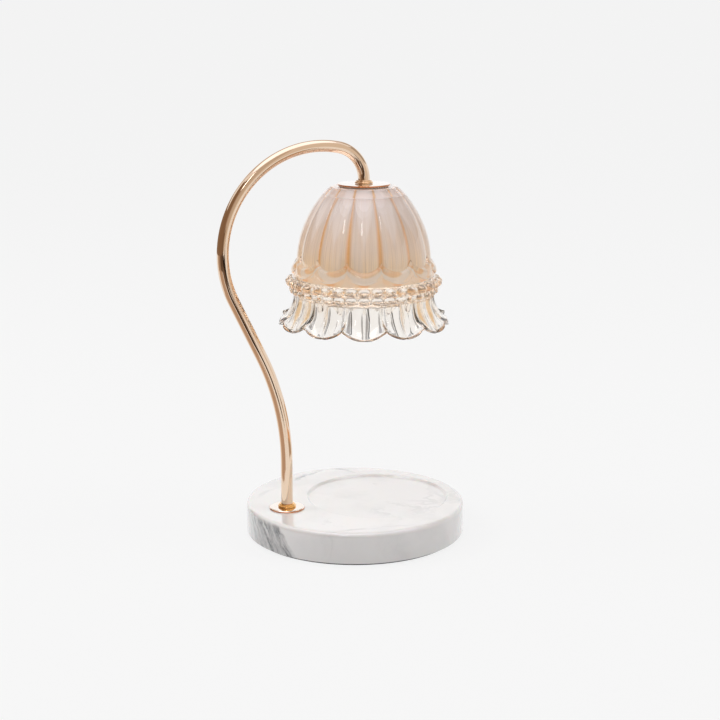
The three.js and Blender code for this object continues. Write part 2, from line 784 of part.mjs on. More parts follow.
function addHead(parent) {
  const edge = canopyThickness / 2;
  const canopy = turned(
    [
      [tubeHole, canopyUnder],
      ...arcPoints(canopyDiameter / 2 - edge, canopyUnder + edge, edge, -90, 90, roundSteps),
      [tubeHole, 0],
    ],
    holeSides,
  );
  add(parent, "canopy_disc", canopy, gold());
  const washer = (radius, under, thickness) =>
    disc(radius, under, under + thickness, holeSides, tubeHole);
  const gasketOuter = canopyDiameter / 2 - gasketInset;
  const clampOuter = clampDiameter / 2;
  add(parent, "gasket_upper", washer(gasketOuter, upperGasketUnder, gasketThickness), clearSilicone());
  add(parent, "glass_shade", glassShade(), pearlGlass());
  add(parent, "gasket_lower", washer(clampOuter, lowerGasketUnder, gasketThickness), clearSilicone());
  add(parent, "clamp_disc", washer(clampOuter, clampUnder, clampThickness), steel());
  add(parent, "holder_bracket", bracket(), steel());
  add(parent, "lamp_holder", holderBody(), ceramic());
  [-1, 1].forEach((side, i) => {
    add(parent, "holder_screw_" + (i + 1), holderScrew().translate(side * screwAt, 0, 0), steel());
  });
  pinAngles.forEach((locked, i) => {
    const bar = arcBar(pinCircle, pinHeadRadius, locked - twistAngle, locked);
    const contact = raised(bar, contactUnder, contactTop, wireSides);
    add(parent, "holder_contact_" + (i + 1), contact, contactBrass());
    add(parent, "lead_core_" + (i + 1), leadCore(locked), leadSheath());
  });
}

// Bulb, hanging by its two pins

const bulbBaseUnder = bulbTop - bulbBaseHeight;
const bulbFace = bulbTop - bulbLength;
const socketRoof = bulbBaseUnder + bulbSocketDepth;
const neckTop = socketRoof - partGap;
const neckRadiusOut = bulbNeckDiameter / 2;
const neckBore = neckRadiusOut - reflectorWall;

function bulbBase() {
  const socket = neckRadiusOut + shaftClearance;
  const body = turned(
    [
      [0, socketRoof],
      [socket, socketRoof],
      [socket, bulbBaseUnder],
      [bulbBaseDiameter / 2, bulbBaseUnder],
      [bulbBaseDiameter / 2, bulbTop],
      [0, bulbTop],
    ],
    holeSides,
  );
  const hole = holeRadius(pinNeckRadius + shaftClearance, tubeSides);
  const pinHoles = pinAngles.map((locked) =>
    toPin(disc(hole, bulbTop - pinSink - partGap, bulbTop + cutOverrun, tubeSides), locked),
  );
  return cut(body, ...pinHoles);
}

function bulbPin() {
  return turned(
    [
      [0, bulbTop - pinSink],
      [pinNeckRadius, bulbTop - pinSink],
      [pinNeckRadius, pinHeadUnder],
      [pinHeadRadius, pinHeadUnder],
      [pinHeadRadius, pinHeadTop],
      [0, pinHeadTop],
    ],
    tubeSides,
  );
}

// The reflector's outer radius at a share of the way from its neck to its face.
const reflectorCurveShare = 0.6;
function reflectorRadius(share) {
  return neckRadiusOut + (bulbDiameter / 2 - neckRadiusOut) * share ** reflectorCurveShare;
}

function reflector() {
  const depth = bulbBaseUnder - partGap - bulbFace;
  const shares = [0, 0.05, 0.2, 0.4, 0.65, 1];
  const outside = shares.map((share) => [reflectorRadius(share), bulbFace + depth * (1 - share)]);
  const inside = outside.map(([radius, height]) => [radius - reflectorWall, height]);
  return turned(
    [...inside.toReversed(), [neckBore, neckTop], [neckRadiusOut, neckTop], ...outside].toReversed(),
    holeSides,
  );
}

function addBulb(parent) {
  add(parent, "bulb_base", bulbBase(), ceramic());
  pinAngles.forEach((locked, i) => {
    add(parent, "bulb_pin_" + (i + 1), toPin(bulbPin(), locked), steel());
  });
  add(parent, "bulb_reflector", reflector(), mirrorCoat());
  const mouth = (bulbDiameter / 2 - reflectorWall - shaftClearance) * Math.cos(Math.PI / holeSides);
  const narrowing = reflectorWall;
  const front = turned(
    [
      [0, bulbFace],
      [mouth, bulbFace],
      [mouth - narrowing, bulbFace + frontGlassThickness],
      [0, bulbFace + frontGlassThickness],
    ],
    holeSides,
  );
  add(parent, "bulb_front_glass", front, clearGlass());
  const tip = capsuleDiameter / 2;
  const stem = neckBore - shaftClearance - partGap;
  const capsuleBottom = neckTop - capsuleLength - bulbSocketDepth;
  const capsule = turned(
    [
      ...arcPoints(0, capsuleBottom + tip, tip, -90, 0, roundSteps),
      [tip, neckTop - bulbSocketDepth],
      [stem, neckTop - bulbSocketDepth],
      [stem, neckTop],
      [0, neckTop],
    ],
    tubeSides,
  );
  add(parent, "bulb_capsule", capsule, clearGlass());
}

addBase(lamp);
addArm(lamp);
const head = new THREE.Group();
head.position.copy(headPlace);
lamp.add(head);
addHead(head);
addBulb(head);

export default lamp;
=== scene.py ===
"""The looks of a warmer lamp: marble base, bent champagne-gold tube, pearl-lined pressed-glass shade.

Lengths in the tables are millimetres and become metres where a mesh is made. Places come from the frame.
"""

import math

import bpy
import numpy as np
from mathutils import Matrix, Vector


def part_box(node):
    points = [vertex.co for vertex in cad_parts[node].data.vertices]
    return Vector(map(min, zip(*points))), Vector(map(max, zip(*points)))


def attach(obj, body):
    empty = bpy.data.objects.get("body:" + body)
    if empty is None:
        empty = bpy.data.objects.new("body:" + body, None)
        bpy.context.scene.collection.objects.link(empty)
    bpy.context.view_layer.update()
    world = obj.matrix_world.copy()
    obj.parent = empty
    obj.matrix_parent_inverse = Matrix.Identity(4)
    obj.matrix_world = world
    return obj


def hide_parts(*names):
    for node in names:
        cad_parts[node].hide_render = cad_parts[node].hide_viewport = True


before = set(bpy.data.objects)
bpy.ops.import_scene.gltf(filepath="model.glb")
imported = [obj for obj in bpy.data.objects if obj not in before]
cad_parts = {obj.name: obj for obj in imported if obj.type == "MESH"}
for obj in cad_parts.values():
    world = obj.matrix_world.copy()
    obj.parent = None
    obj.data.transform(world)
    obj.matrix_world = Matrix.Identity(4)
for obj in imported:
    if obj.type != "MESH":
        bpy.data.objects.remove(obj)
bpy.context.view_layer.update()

MM = 0.001


# Places, read from the frame

def low(node):
    """Lowest corner of a CAD node, in millimetres."""
    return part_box(node)[0] / MM


def high(node):
    """Highest corner of a CAD node, in millimetres."""
    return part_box(node)[1] / MM


def levels(node):
    """Lowest and highest level of a CAD node."""
    return low(node).z, high(node).z


def middle(node):
    return (low(node) + high(node)) / 2


def width(node):
    return (high(node) - low(node)).y


FOOT = (middle("foot_collar").x, 0)
HEAD = (middle("head_collar").x, 0)
GLASS_TOP = high("glass_shade").z


# Outlines

def arc(centre, radius, start, stop, steps):
    """Points of an arc about (radius, height), with angles in degrees."""
    angles = np.radians(np.linspace(start, stop, steps + 1))
    return [(centre[0] + radius * math.cos(a), centre[1] + radius * math.sin(a)) for a in angles]


def softened(outline, steps=5):
    """An outline whose corners are rounded. A corner is (radius, height) or (radius, height, round)."""
    count = len(outline)
    points = []
    for i, corner in enumerate(outline):
        here = np.array(corner[:2], float)
        if len(corner) < 3:
            points.append(tuple(here))
            continue
        before = np.array(outline[i - 1][:2], float) - here
        after = np.array(outline[(i + 1) % count][:2], float) - here
        before /= np.linalg.norm(before)
        after /= np.linalg.norm(after)
        half = math.acos(np.clip(before @ after, -1, 1)) / 2
        bisector = (before + after) / np.linalg.norm(before + after)
        centre = here + bisector * corner[2] / math.sin(half)
        start = here + before * corner[2] / math.tan(half) - centre
        stop = here + after * corner[2] / math.tan(half) - centre
        swing = math.acos(np.clip(start @ stop / corner[2] ** 2, -1, 1))
        for step in range(steps + 1):
            share = step / steps
            point = (start * math.sin((1 - share) * swing) + stop * math.sin(share * swing)) / math.sin(swing)
            points.append(tuple(centre + point))
    return points


# Meshes

SHARP_ANGLE = 32


def added(name, data):
    """A new object in the scene."""
    made = bpy.data.objects.new(name, data)
    bpy.context.scene.collection.objects.link(made)
    return made


def piece(name, points, faces, material, sharp=SHARP_ANGLE):
    """A smooth-shaded mesh from points in millimetres."""
    mesh = bpy.data.meshes.new(name)
    mesh.from_pydata([tuple(float(c) * MM for c in p) for p in points], [], faces)
    mesh.validate()
    mesh.shade_smooth()
    mesh.set_sharp_from_angle(angle=math.radians(sharp))
    mesh.materials.append(material)
    return added(name, mesh)


def skin(rings, closed):
    """Points and faces through rings of equal length. A ring of one point is a pole."""
    points, faces, starts = [], [], []
    for ring in rings:
        starts.append(len(points))
        points.extend(ring)
    pairs = len(rings) if closed else len(rings) - 1
    for i in range(pairs):
        j = (i + 1) % len(rings)
        here, there = starts[i], starts[j]
        sides = max(len(rings[i]), len(rings[j]))
        for k in range(sides):
            k2 = (k + 1) % sides
            if len(rings[i]) == 1:
                faces.append((here, there + k2, there + k))
            elif len(rings[j]) == 1:
                faces.append((here + k, here + k2, there))
            else:
                faces.append((here + k, here + k2, there + k2, there + k))
    return points, faces


def circle(radius, height, sides, place=(0, 0)):
    if radius == 0:
        return [(place[0], place[1], height)]
    turns = np.linspace(0, 2 * np.pi, sides, endpoint=False)
    return [(place[0] + radius * math.cos(t), place[1] + radius * math.sin(t), height) for t in turns]


def lathe(name, outline, material, sides=96, place=(0, 0)):
    """A turned piece. The outline runs anticlockwise in (radius, height), and starts and ends on the axis
    or closes on itself."""
    rings = [circle(radius, height, sides, place) for radius, height in outline]
    closed = outline[0][0] != 0
    return piece(name, *skin(rings, closed), material)


def plate(name, outer, hole, bottom, top, edge, material, sides=96, place=(0, 0)):
    """A round plate with a hole and softened edges."""
    inner_edge = edge / 3
    outline = softened([
        (hole, bottom, inner_edge), (outer, bottom, edge), (outer, top, edge), (hole, top, inner_edge),
    ])
    return lathe(name, outline, material, sides, place)


def carve(target, cutters):
    """Cuts closed pieces out of a target, then deletes them."""
    for cutter in cutters:
        step = target.modifiers.new("cut", "BOOLEAN")
        step.operation = "DIFFERENCE"
        step.solver = "EXACT"
        step.object = cutter
    bpy.context.view_layer.update()
    seen = target.evaluated_get(bpy.context.evaluated_depsgraph_get())
    material = target.data.materials[0]
    target.data = bpy.data.meshes.new_from_object(seen)
    target.modifiers.clear()
    target.data.materials.clear()
    target.data.materials.append(material)
    target.data.polygons.foreach_set("material_index", [0] * len(target.data.polygons))
    target.data.shade_smooth()
    target.data.set_sharp_from_angle(angle=math.radians(SHARP_ANGLE))
    for cutter in cutters:
        bpy.data.objects.remove(cutter)


def block(lowest, highest, material):
    """A closed box, for cutting."""
    x0, y0, z0 = lowest
    x1, y1, z1 = highest
    bottom = [(x0, y0, z0), (x1, y0, z0), (x1, y1, z0), (x0, y1, z0)]
    points = bottom + [(x, y, z1) for x, y, _ in bottom]
    faces = [(3, 2, 1, 0), (4, 5, 6, 7), (0, 1, 5, 4), (1, 2, 6, 5), (2, 3, 7, 6), (3, 0, 4, 7)]
    return piece("cutter", points, faces, material)


# Node trees

def linear(*rgb):
    """An sRGB colour, written 0 to 255, as Blender's linear colour."""
    shares = [c / 255 for c in rgb]
    return tuple(c / 12.92 if c <= 0.04045 else ((c + 0.055) / 1.055) ** 2.4 for c in shares) + (1.0,)


class Tree:
    """A node tree and short calls that add nodes to it. Most of them return the new node's output."""

    def __init__(self, owner):
        owner.use_nodes = True
        self.nodes = owner.node_tree.nodes
        self.links = owner.node_tree.links
        self.nodes.clear()

    def feed(self, socket, value):
        if isinstance(value, bpy.types.NodeSocket):
            self.links.new(value, socket)
        else:
            socket.default_value = value

    def node(self, kind, values=None, **settings):
        made = self.nodes.new(kind)
        for key, value in settings.items():
            setattr(made, key, value)
        for key, value in (values or {}).items():
            self.feed(made.inputs[key], value)
        return made

    def calc(self, operation, *values):
        made = self.node("ShaderNodeMath", operation=operation)
        for socket, value in zip(made.inputs, values):
            self.feed(socket, value)
        return made.outputs[0]

    def times(self, first, second):
        return self.calc("MULTIPLY", first, second)

    def plus(self, first, second):
        return self.calc("ADD", first, second)

    def minus(self, first, second):
        return self.calc("SUBTRACT", first, second)

    def most(self, first, second):
        return self.calc("MAXIMUM", first, second)

    def vector(self, operation, *values):
        made = self.node("ShaderNodeVectorMath", operation=operation)
        for socket, value in zip(made.inputs, values):
            self.feed(socket, value)
        return made.outputs[0]

    def length(self, vector):
        return self.node("ShaderNodeVectorMath", {0: vector}, operation="LENGTH").outputs["Value"]

    def spot(self, offset=(0, 0, 0)):
        """The place on the piece, in millimetres from an offset in the frame."""
        place = self.node("ShaderNodeTexCoord").outputs["Object"]
        scaled = self.vector("MULTIPLY", place, (1 / MM,) * 3)
        return self.vector("SUBTRACT", scaled, offset)

    def parts(self, vector):
        made = self.node("ShaderNodeSeparateXYZ", {"Vector": vector})
        return made.outputs[0], made.outputs[1], made.outputs[2]

    def joined(self, x, y, z):
        return self.node("ShaderNodeCombineXYZ", {"X": x, "Y": y, "Z": z}).outputs[0]

    def noise(self, vector, scale, detail=3.0, roughness=0.55):
        made = self.node("ShaderNodeTexNoise", {
            "Vector": vector, "Scale": scale, "Detail": detail, "Roughness": roughness,
        })
        return made.outputs["Fac"]

    def ramp(self, value, low_in, high_in, low_out=0.0, high_out=1.0, smooth=True):
        made = self.node("ShaderNodeMapRange", {
            "Value": value, "From Min": low_in, "From Max": high_in, "To Min": low_out, "To Max": high_out,
        }, interpolation_type="SMOOTHSTEP" if smooth else "LINEAR")
        return made.outputs[0]

    def mix(self, share, first, second):
        """A mix of two colours. Each is a socket, or sRGB values from 0 to 255."""
        made = self.node("ShaderNodeMix", data_type="RGBA")
        self.feed(made.inputs["Factor"], share)
        for socket, colour in ((made.inputs[6], first), (made.inputs[7], second)):
            self.feed(socket, linear(*colour) if isinstance(colour, tuple) else colour)
        return made.outputs[2]

    def bump(self, height, distance):
        """A bump of the given height in millimetres."""
        return self.node("ShaderNodeBump", {"Height": height, "Distance": distance * MM}).outputs[0]

    def surface(self, values):
        return self.node("ShaderNodeBsdfPrincipled", values).outputs[0]

    def blend(self, share, first, second):
        made = self.node("ShaderNodeMixShader", {0: share})
        self.feed(made.inputs[1], first)
        self.feed(made.inputs[2], second)
        return made.outputs[0]

    def done(self, shader, kind="Material", **others):
        values = {"Surface": shader, **others}
        self.node("ShaderNodeOutput" + kind, values)


def material(name):
    made = bpy.data.materials.new(name)
    return made, Tree(made)


# Materials

def polar(t, place):
    """Direction round a vertical axis as a flat unit vector, the angle, and the height."""
    x, y, z = t.parts(place)
    flat = t.vector("NORMALIZE", t.joined(x, y, 0.0))
    return flat, t.calc("ARCTAN2", y, x), z


STONE_WHITE = (234, 231, 230)
STONE_GREY = (72, 74, 79)
RIM_VEIN = (-67.9, -32.0, 16.5)  # a point on the right border of the strands on the base's side
RIM_NORMAL = (-0.20, 0.81, -0.55)
RIM_RUN = (3.4, -13.1, -20.5)
RIM_CORES = [(2.0, 4.5), (15.0, 7.0)]  # distance from the border and half width of the darkest strands
TOP_VEINS = [  # point, normal, run, half width, reach and depth of each vein on the top
    ((-8.0, 64.0, 22.0), (-0.53, 0.85, 0.0), (0.85, 0.53, 0.0), 4.5, 24.0, 0.62),
    ((-46.0, 42.0, 22.0), (-0.60, 0.80, 0.1), (0.80, 0.60, 0.0), 3.0, 26.0, 0.16),
    ((-20.0, -62.0, 22.0), (0.15, 0.98, 0.1), (0.98, -0.15, 0.0), 3.0, 42.0, 0.22),
    ((52.0, -30.0, 22.0), (0.62, 0.78, 0.1), (0.78, -0.62, 0.0), 3.5, 34.0, 0.18),
    ((30.0, 74.0, 12.0), (0.55, 0.30, 0.78), (0.70, -0.60, -0.30), 5.0, 34.0, 0.50),
    ((70.0, 22.0, 12.0), (0.20, 0.72, -0.66), (0.10, 0.66, 0.72), 4.0, 26.0, 0.40),
]


def marble_material():
    """White marble. Grey strands run down the front left of the rim, and fine veins cross the top."""
    made, t = material("marble")
    place = t.spot()
    x, y, z = t.parts(place)

    def centred(value, swing):
        return t.times(t.minus(value, 0.5), swing)

    def along(point, direction):
        """How far a place lies from a point in a direction."""
        pair = {0: t.vector("SUBTRACT", place, point), 1: tuple(Vector(direction).normalized())}
        return t.node("ShaderNodeVectorMath", pair, operation="DOT_PRODUCT").outputs["Value"]

    def near(point, reach):
        return t.ramp(t.length(t.vector("SUBTRACT", place, point)), reach * 0.45, reach, 1.0, 0.0)

    wander = t.plus(centred(t.noise(place, 0.05, 2.0), 9.0), centred(t.noise(place, 0.22, 3.0), 3.4))

    def strands(point, normal, run, fine=0.42):
        """Distance from a wandering plane, and streaks that lie in it and run in a direction."""
        across = t.plus(along(point, normal), wander)
        grain = t.joined(t.times(across, fine), t.times(along(point, run), 0.05), 0.0)
        return across, t.noise(grain, 1.0, 5.0, 0.62)

    on_side = t.times(t.ramp(t.length(t.joined(x, y, 0.0)), 66.0, 73.5), t.ramp(z, 22.2, 19.0))
    across, streak = strands(RIM_VEIN, RIM_NORMAL, RIM_RUN, 0.34)
    wash = t.times(t.ramp(across, -3.0, 1.0), t.ramp(across, 24.0, 46.0, 1.0, 0.4))
    mottle = t.ramp(t.noise(place, 0.35, 4.0, 0.6), 0.3, 0.7, 0.78, 1.15)
    grey = t.times(wash, t.ramp(streak, 0.32, 0.66, 0.26, 0.70))
    for centre, half in RIM_CORES:
        off = t.calc("ABSOLUTE", t.minus(across, centre))
        core = t.times(t.ramp(off, half * 0.2, half, 0.9, 0.0), t.ramp(streak, 0.36, 0.58, 0.3, 1.0))
        grey = t.most(grey, core)
    grey = t.times(t.times(grey, on_side), mottle)

    for point, normal, run, width_, reach, depth in TOP_VEINS:
        across, streak = strands(point, normal, run)
        line = t.times(t.ramp(t.calc("ABSOLUTE", across), 0.0, width_, 1.0, 0.0), near(point, reach))
        line = t.times(line, t.ramp(streak, 0.38, 0.62, 0.15, 1.0))
        grey = t.most(grey, t.times(line, depth))

    warp = t.node("ShaderNodeTexNoise", {"Vector": place, "Scale": 0.025, "Detail": 4.0, "Roughness": 0.6})
    bent = t.vector("ADD", place, t.vector("MULTIPLY", warp.outputs["Color"], (40.0, 40.0, 40.0)))
    ridge = t.calc("ABSOLUTE", centred(t.noise(bent, 0.011, 6.0, 0.6), 1.0))
    fine = t.times(t.ramp(ridge, 0.0, 0.03, 1.0, 0.0), t.ramp(t.noise(place, 0.02, 2.0), 0.45, 0.7))
    grey = t.most(grey, t.times(fine, 0.22))
    grey = t.most(grey, t.ramp(t.noise(bent, 0.018, 5.0, 0.6), 0.42, 0.75, 0.0, 0.13))

    colour = t.mix(grey, STONE_WHITE, STONE_GREY)
    polish = t.ramp(t.noise(place, 0.6, 3.0), 0.3, 0.7, 0.10, 0.18)
    t.done(t.surface({
        "Base Color": colour, "Roughness": polish, "Normal": t.bump(t.noise(place, 0.09, 2.0), 0.015),
        "IOR": 1.5, "Subsurface Weight": 0.1, "Subsurface Scale": 0.003,
        "Coat Weight": 1.0, "Coat Roughness": 0.03, "Coat IOR": 1.7,
    }))
    return made


def metal_material(name, colour, deep, roughness, lacquer=0.0):
    """Plated or bare metal with a faintly uneven finish."""
    made, t = material(name)
    place = t.spot()
    streak = t.noise(place, 1.6, 4.0, 0.6)
    tone = t.mix(t.ramp(t.noise(place, 0.07), 0.35, 0.7, 0.0, 0.25), colour, deep)
    rough = t.ramp(streak, 0.3, 0.7, roughness * 0.8, roughness * 1.3)
    t.done(t.surface({
        "Base Color": tone, "Metallic": 1.0, "Roughness": rough, "Normal": t.bump(streak, 0.002),
        "Coat Weight": lacquer, "Coat Roughness": 0.03,
    }))
    return made


THREAD_PITCH = 1.0
THREAD_DEPTH = 0.35
FINISH_RELIEF = 0.0008


def threaded_material(name, colour, deep, roughness, ends):
    """The tube's finish, with a screw thread at both ends: under the first height, and under the second on
    the shade's side."""
    made, t = material(name)
    place = t.spot()
    x, _, z = t.parts(place)
    over_shade = t.ramp(x, HEAD[0] - 8, HEAD[0] - 7)
    upper = t.times(t.ramp(z, ends[1], ends[1] + 0.1, 1.0, 0.0), over_shade)
    away = t.plus(t.ramp(z, ends[0] - 0.1, ends[0], 1.0, 0.0), upper)
    thread = t.calc("PINGPONG", t.calc("DIVIDE", z, THREAD_PITCH), 0.5)
    cut = t.times(t.calc("MINIMUM", away, 1.0), thread)
    streak = t.noise(t.vector("MULTIPLY", place, (1.0, 1.0, 0.12)), 1.8, 4.0, 0.6)
    tone = t.mix(t.ramp(t.noise(place, 0.05), 0.35, 0.7, 0.0, 0.3), colour, deep)
    rough = t.ramp(streak, 0.3, 0.7, roughness * 0.8, roughness * 1.3)
    height = t.plus(t.times(cut, THREAD_DEPTH / FINISH_RELIEF), streak)
    t.done(t.surface({
        "Base Color": tone, "Metallic": 1.0, "Roughness": rough, "Normal": t.bump(height, FINISH_RELIEF),
        "Coat Weight": 1.0, "Coat Roughness": 0.03,
    }))
    return made


def matt_material(name, colour, deep, roughness, grain, relief):
    """Rubber, nylon, silicone or ceramic: a mottled colour with a fine grain."""
    made, t = material(name)
    place = t.spot()
    speck = t.noise(place, grain, 5.0, 0.65)
    cloud = t.noise(place, grain * 0.12, 3.0)
    tone = t.mix(t.ramp(t.plus(speck, cloud), 0.8, 1.25), colour, deep)
    rough = t.ramp(speck, 0.3, 0.7, roughness * 0.85, min(1.0, roughness * 1.15))
    t.done(t.surface({"Base Color": tone, "Roughness": rough, "Normal": t.bump(speck, relief)}))
    return made


def petal_phase(t, angle):
    """How far from a petal's middle, as 0 at the middle to 1 at the valley between two petals."""
    petals = t.minus(t.times(angle, PETALS / (2 * math.pi)), PETAL_TURN / (360 / PETALS))
    return t.times(t.calc("PINGPONG", petals, 0.5), 2.0)


def tip_height(t, phase, height):
    """Height above the line of a petal's tip, which rises towards the valleys."""
    shape = t.calc("POWER", t.calc("COSINE", t.times(phase, math.pi / 2)), PETAL_ROUNDNESS)
    lift = t.times(t.minus(1.0, shape), PETAL_RISE)
    return t.minus(t.plus(height, PETAL_EDGE[1]), lift)


def shade_glass_material():
    """Clear pressed glass, faintly champagne where it is thick. The crown is milky, partly as frosted glass
    and partly as painted light where the canopy disc shades it. Lamps shine through it."""
    made, t = material("shade_glass")
    place = t.spot((*HEAD, GLASS_TOP))
    flat, angle, height = polar(t, place)
    ripple = t.noise(t.vector("ADD", t.vector("MULTIPLY", flat, (9.0, 9.0, 9.0)),
                              t.joined(0.0, 0.0, t.times(height, 0.12))), 1.0, 3.0)
    # Painted light: the crown is paler and milky for light that the canopy disc keeps off it, and its valleys
    # are painted amber like the coat's lines.
    crown = t.ramp(height, -6.0, -4.6)
    valley = t.ramp(petal_phase(t, angle), 0.78, 0.96, 0.0, 0.8)
    painted_milky_tone = t.mix(valley, (243, 228, 222), (246, 196, 138))
    glass = t.surface({
        "Base Color": t.mix(crown, (255, 253, 250), painted_milky_tone),
        "Transmission Weight": t.ramp(crown, 0.0, 1.0, 1.0, 0.4),
        "Roughness": t.ramp(ripple, 0.3, 0.7, 0.0, 0.02), "IOR": 1.5, "Normal": t.bump(ripple, 0.03),
        "Coat Weight": 0.7, "Coat IOR": 1.6, "Coat Roughness": 0.02,
    })
    clear = t.node("ShaderNodeBsdfTransparent", {"Color": (0.98, 0.975, 0.965, 1.0)}).outputs[0]
    shadow = t.node("ShaderNodeLightPath").outputs["Is Shadow Ray"]
    tint = t.node("ShaderNodeVolumeAbsorption", {"Color": linear(255, 226, 186), "Density": 26.0}).outputs[0]
    t.done(t.blend(shadow, glass, clear), Volume=tint)
    return made


def pearl_material():
    """The coat inside the dome: pearl lobes with a painted highlight and amber edges, pale petal rims, and an
    amber band below with painted warm glows. The edges and rims are partly painted reflection and highlight.
    """
    made, t = material("pearl_coat")
    place = t.spot((*HEAD, GLASS_TOP))
    flat, angle, height = polar(t, place)
    phase = petal_phase(t, angle)
    tip = tip_height(t, phase, height)
    drift = t.joined(0.0, 0.0, t.times(height, 0.02))
    streak = t.noise(t.vector("ADD", t.vector("MULTIPLY", flat, (46.0, 46.0, 46.0)), drift), 1.0, 5.0, 0.62)
    broad = t.noise(t.vector("ADD", t.vector("MULTIPLY", flat, (7.0, 7.0, 7.0)), drift), 1.0, 3.0)
    # The lobes: cool at the crown, warm at the foot, with fine streaks and a painted highlight, a pale tongue
    # from the crown down.
    body = t.mix(t.ramp(height, -10.0, -34.0), (222, 220, 230), (238, 226, 218))
    body = t.mix(t.ramp(height, -34.0, -52.0), body, (255, 238, 212))
    body = t.mix(t.ramp(streak, 0.40, 0.62, 0.0, 0.45), body, (210, 199, 192))
    body = t.mix(t.ramp(broad, 0.45, 0.7, 0.0, 0.4), body, (244, 240, 240))
    # Painted highlight: a pale lavender tongue down each lobe's middle, where a glossy reflection would lie.
    reach = t.ramp(height, -40.0, -8.0, -0.08, 0.85, smooth=False)
    painted_highlight = t.ramp(t.minus(phase, reach), -0.16, 0.08, 0.45, 0.0)
    body = t.mix(t.times(painted_highlight, t.ramp(height, -42.0, -34.0)), body, (244, 244, 252))
    # Amber lines between the lobes and round their feet: partly the coat's own tint, partly painted
    # reflection of light caught inside the thick glass.
    edge = t.times(t.ramp(phase, 0.70, 0.95), t.ramp(height, -4.0, -40.0, 0.45, 0.9))
    line = t.times(t.ramp(t.calc("ABSOLUTE", t.minus(tip, 4.0)), 0.3, 1.5, 1.0, 0.0), 0.42)
    edge = t.times(t.most(edge, line), t.ramp(tip, 2.4, 3.4))
    colour = t.mix(edge, body, (248, 194, 126))
    # The petals' pale rims, partly painted highlight for the bright glass edge, and the band under them with
    # a painted warm glow at each petal's middle.
    # Painted highlight: the rims are painted near white, for light through the thick glass edge.
    painted_rim_light = t.times(t.ramp(tip, 3.4, 2.6), t.ramp(tip, 0.0, 0.8))
    colour = t.mix(t.times(painted_rim_light, 0.75), colour, (246, 246, 248))
    below = t.ramp(tip, 0.8, -0.4)
    band = t.mix(t.ramp(broad, 0.4, 0.65, 0.0, 0.6), (255, 241, 226), (255, 228, 193))
    band = t.mix(t.ramp(tip, -3.0, -6.0), band, (252, 240, 226))
    # Painted glow: a warm orange patch under each petal's middle, for warm light reflected in the glass.
    glow = t.times(t.ramp(tip, -0.4, -1.2), t.ramp(tip, -3.6, -2.4))
    painted_glow = t.times(t.ramp(phase, 0.42, 0.12, 0.0, 0.55), glow)
    band = t.mix(painted_glow, band, (250, 180, 104))
    colour = t.mix(below, colour, band)
    t.done(t.surface({
        "Base Color": colour, "Roughness": t.ramp(streak, 0.3, 0.7, 0.38, 0.5),
        "Normal": t.bump(streak, 0.04), "Specular IOR Level": 0.3,
        "Sheen Weight": 0.7, "Sheen Roughness": 0.3,
    }))
    return made


def clear_material(name):
    """Small clear glass parts of the bulb."""
    made, t = material(name)
    ripple = t.noise(t.spot(), 0.5)
    glass = t.surface({
        "Base Color": linear(250, 251, 252), "Transmission Weight": 1.0, "IOR": 1.5,
        "Roughness": t.ramp(ripple, 0.3, 0.7, 0.0, 0.02), "Normal": t.bump(ripple, 0.03),
    })
    clear = t.node("ShaderNodeBsdfTransparent", {"Color": (0.9, 0.9, 0.9, 1.0)}).outputs[0]
    t.done(t.blend(t.node("ShaderNodeLightPath").outputs["Is Shadow Ray"], glass, clear))
    return made


# Glass shade. Drops are measured down from the top of the glass, at a petal's middle.

PETALS = 12
PETAL_TURN = 5.2  # degrees, of the first petal's middle from +X
BEADS_PER_PETAL = 3
SHADE_HEIGHT = 94.2
CROWN_RADIUS = 20.8
SHOULDER = (23.2, 1.0)  # radius and drop, as for the others below
DOME = (45.1, 51.0)
PETAL_TIP = (49.0, 56.6)
PETAL_EDGE = (47.8, 58.8)
PETAL_RISE = 6.0
BAND = (48.4, 60.4)
BEAD_DROP = 63.8
BEAD_HEIGHT = 6.0
BEAD_PROUD = 4.5
BEAD_SHARE = 0.86  # of the pitch, that a bead is wide
LIP_DROP = 69.3
LIP_HEIGHT = 4.2
LIP_PROUD = 2.3
NECK = (47.6, 72.4)
SKIRT_RADIUS = 57.8
NOTCH_DEPTH = 6.0
FLUTE_DEPTH = 1.9
PETAL_DEPTH = 2.8
PETAL_ROUNDNESS = 0.7
DOME_WALL = 4.8  # at a petal's middle
NECK_WALL = 4.0
CROWN_WALL = 4.4
HEM_WALL = 2.6
CROWN_ROUND = 0.6
HEM_ROUND = 0.8
BORE_RADIUS = 6.13
BORE_TOP_EDGE = 0.4
BORE_FOOT_EDGE = 0.3
RIB_SHARE = 0.86  # a narrow rib lies beyond this share of the way to a notch
SIDES_PER_PETAL = 48
COAT_FOOT = 4  # eighths of the way from the inner dome's foot down to the neck
COAT_BITE = 0.15  # how far the coat lies in the glass, because paint touches glass without a film of air
COAT_WALL = 0.3


def petal_shape(turn):
    """1 at a petal's middle, 0 in the valley, for turn from -1 to 1."""
    return np.cos(turn * np.pi / 2).clip(0) ** PETAL_ROUNDNESS


def bead_turn(turn):
    """Place across a bead, from -1 to 1. A bead stands at a petal's middle."""
    beads = turn * BEADS_PER_PETAL / 2
    return 2 * (beads - np.round(beads))


def flute_shape(turn):
    """Two wide flutes across a petal and half a narrow rib at each end."""
    wide = np.abs(np.sin(np.pi * turn / RIB_SHARE)) ** 0.6
    rib = np.cos(np.pi / 2 * ((1 - np.abs(turn)) / (1 - RIB_SHARE)).clip(0, 1)) ** 0.6
    return np.where(np.abs(turn) < RIB_SHARE, wide, 0.8 * rib)


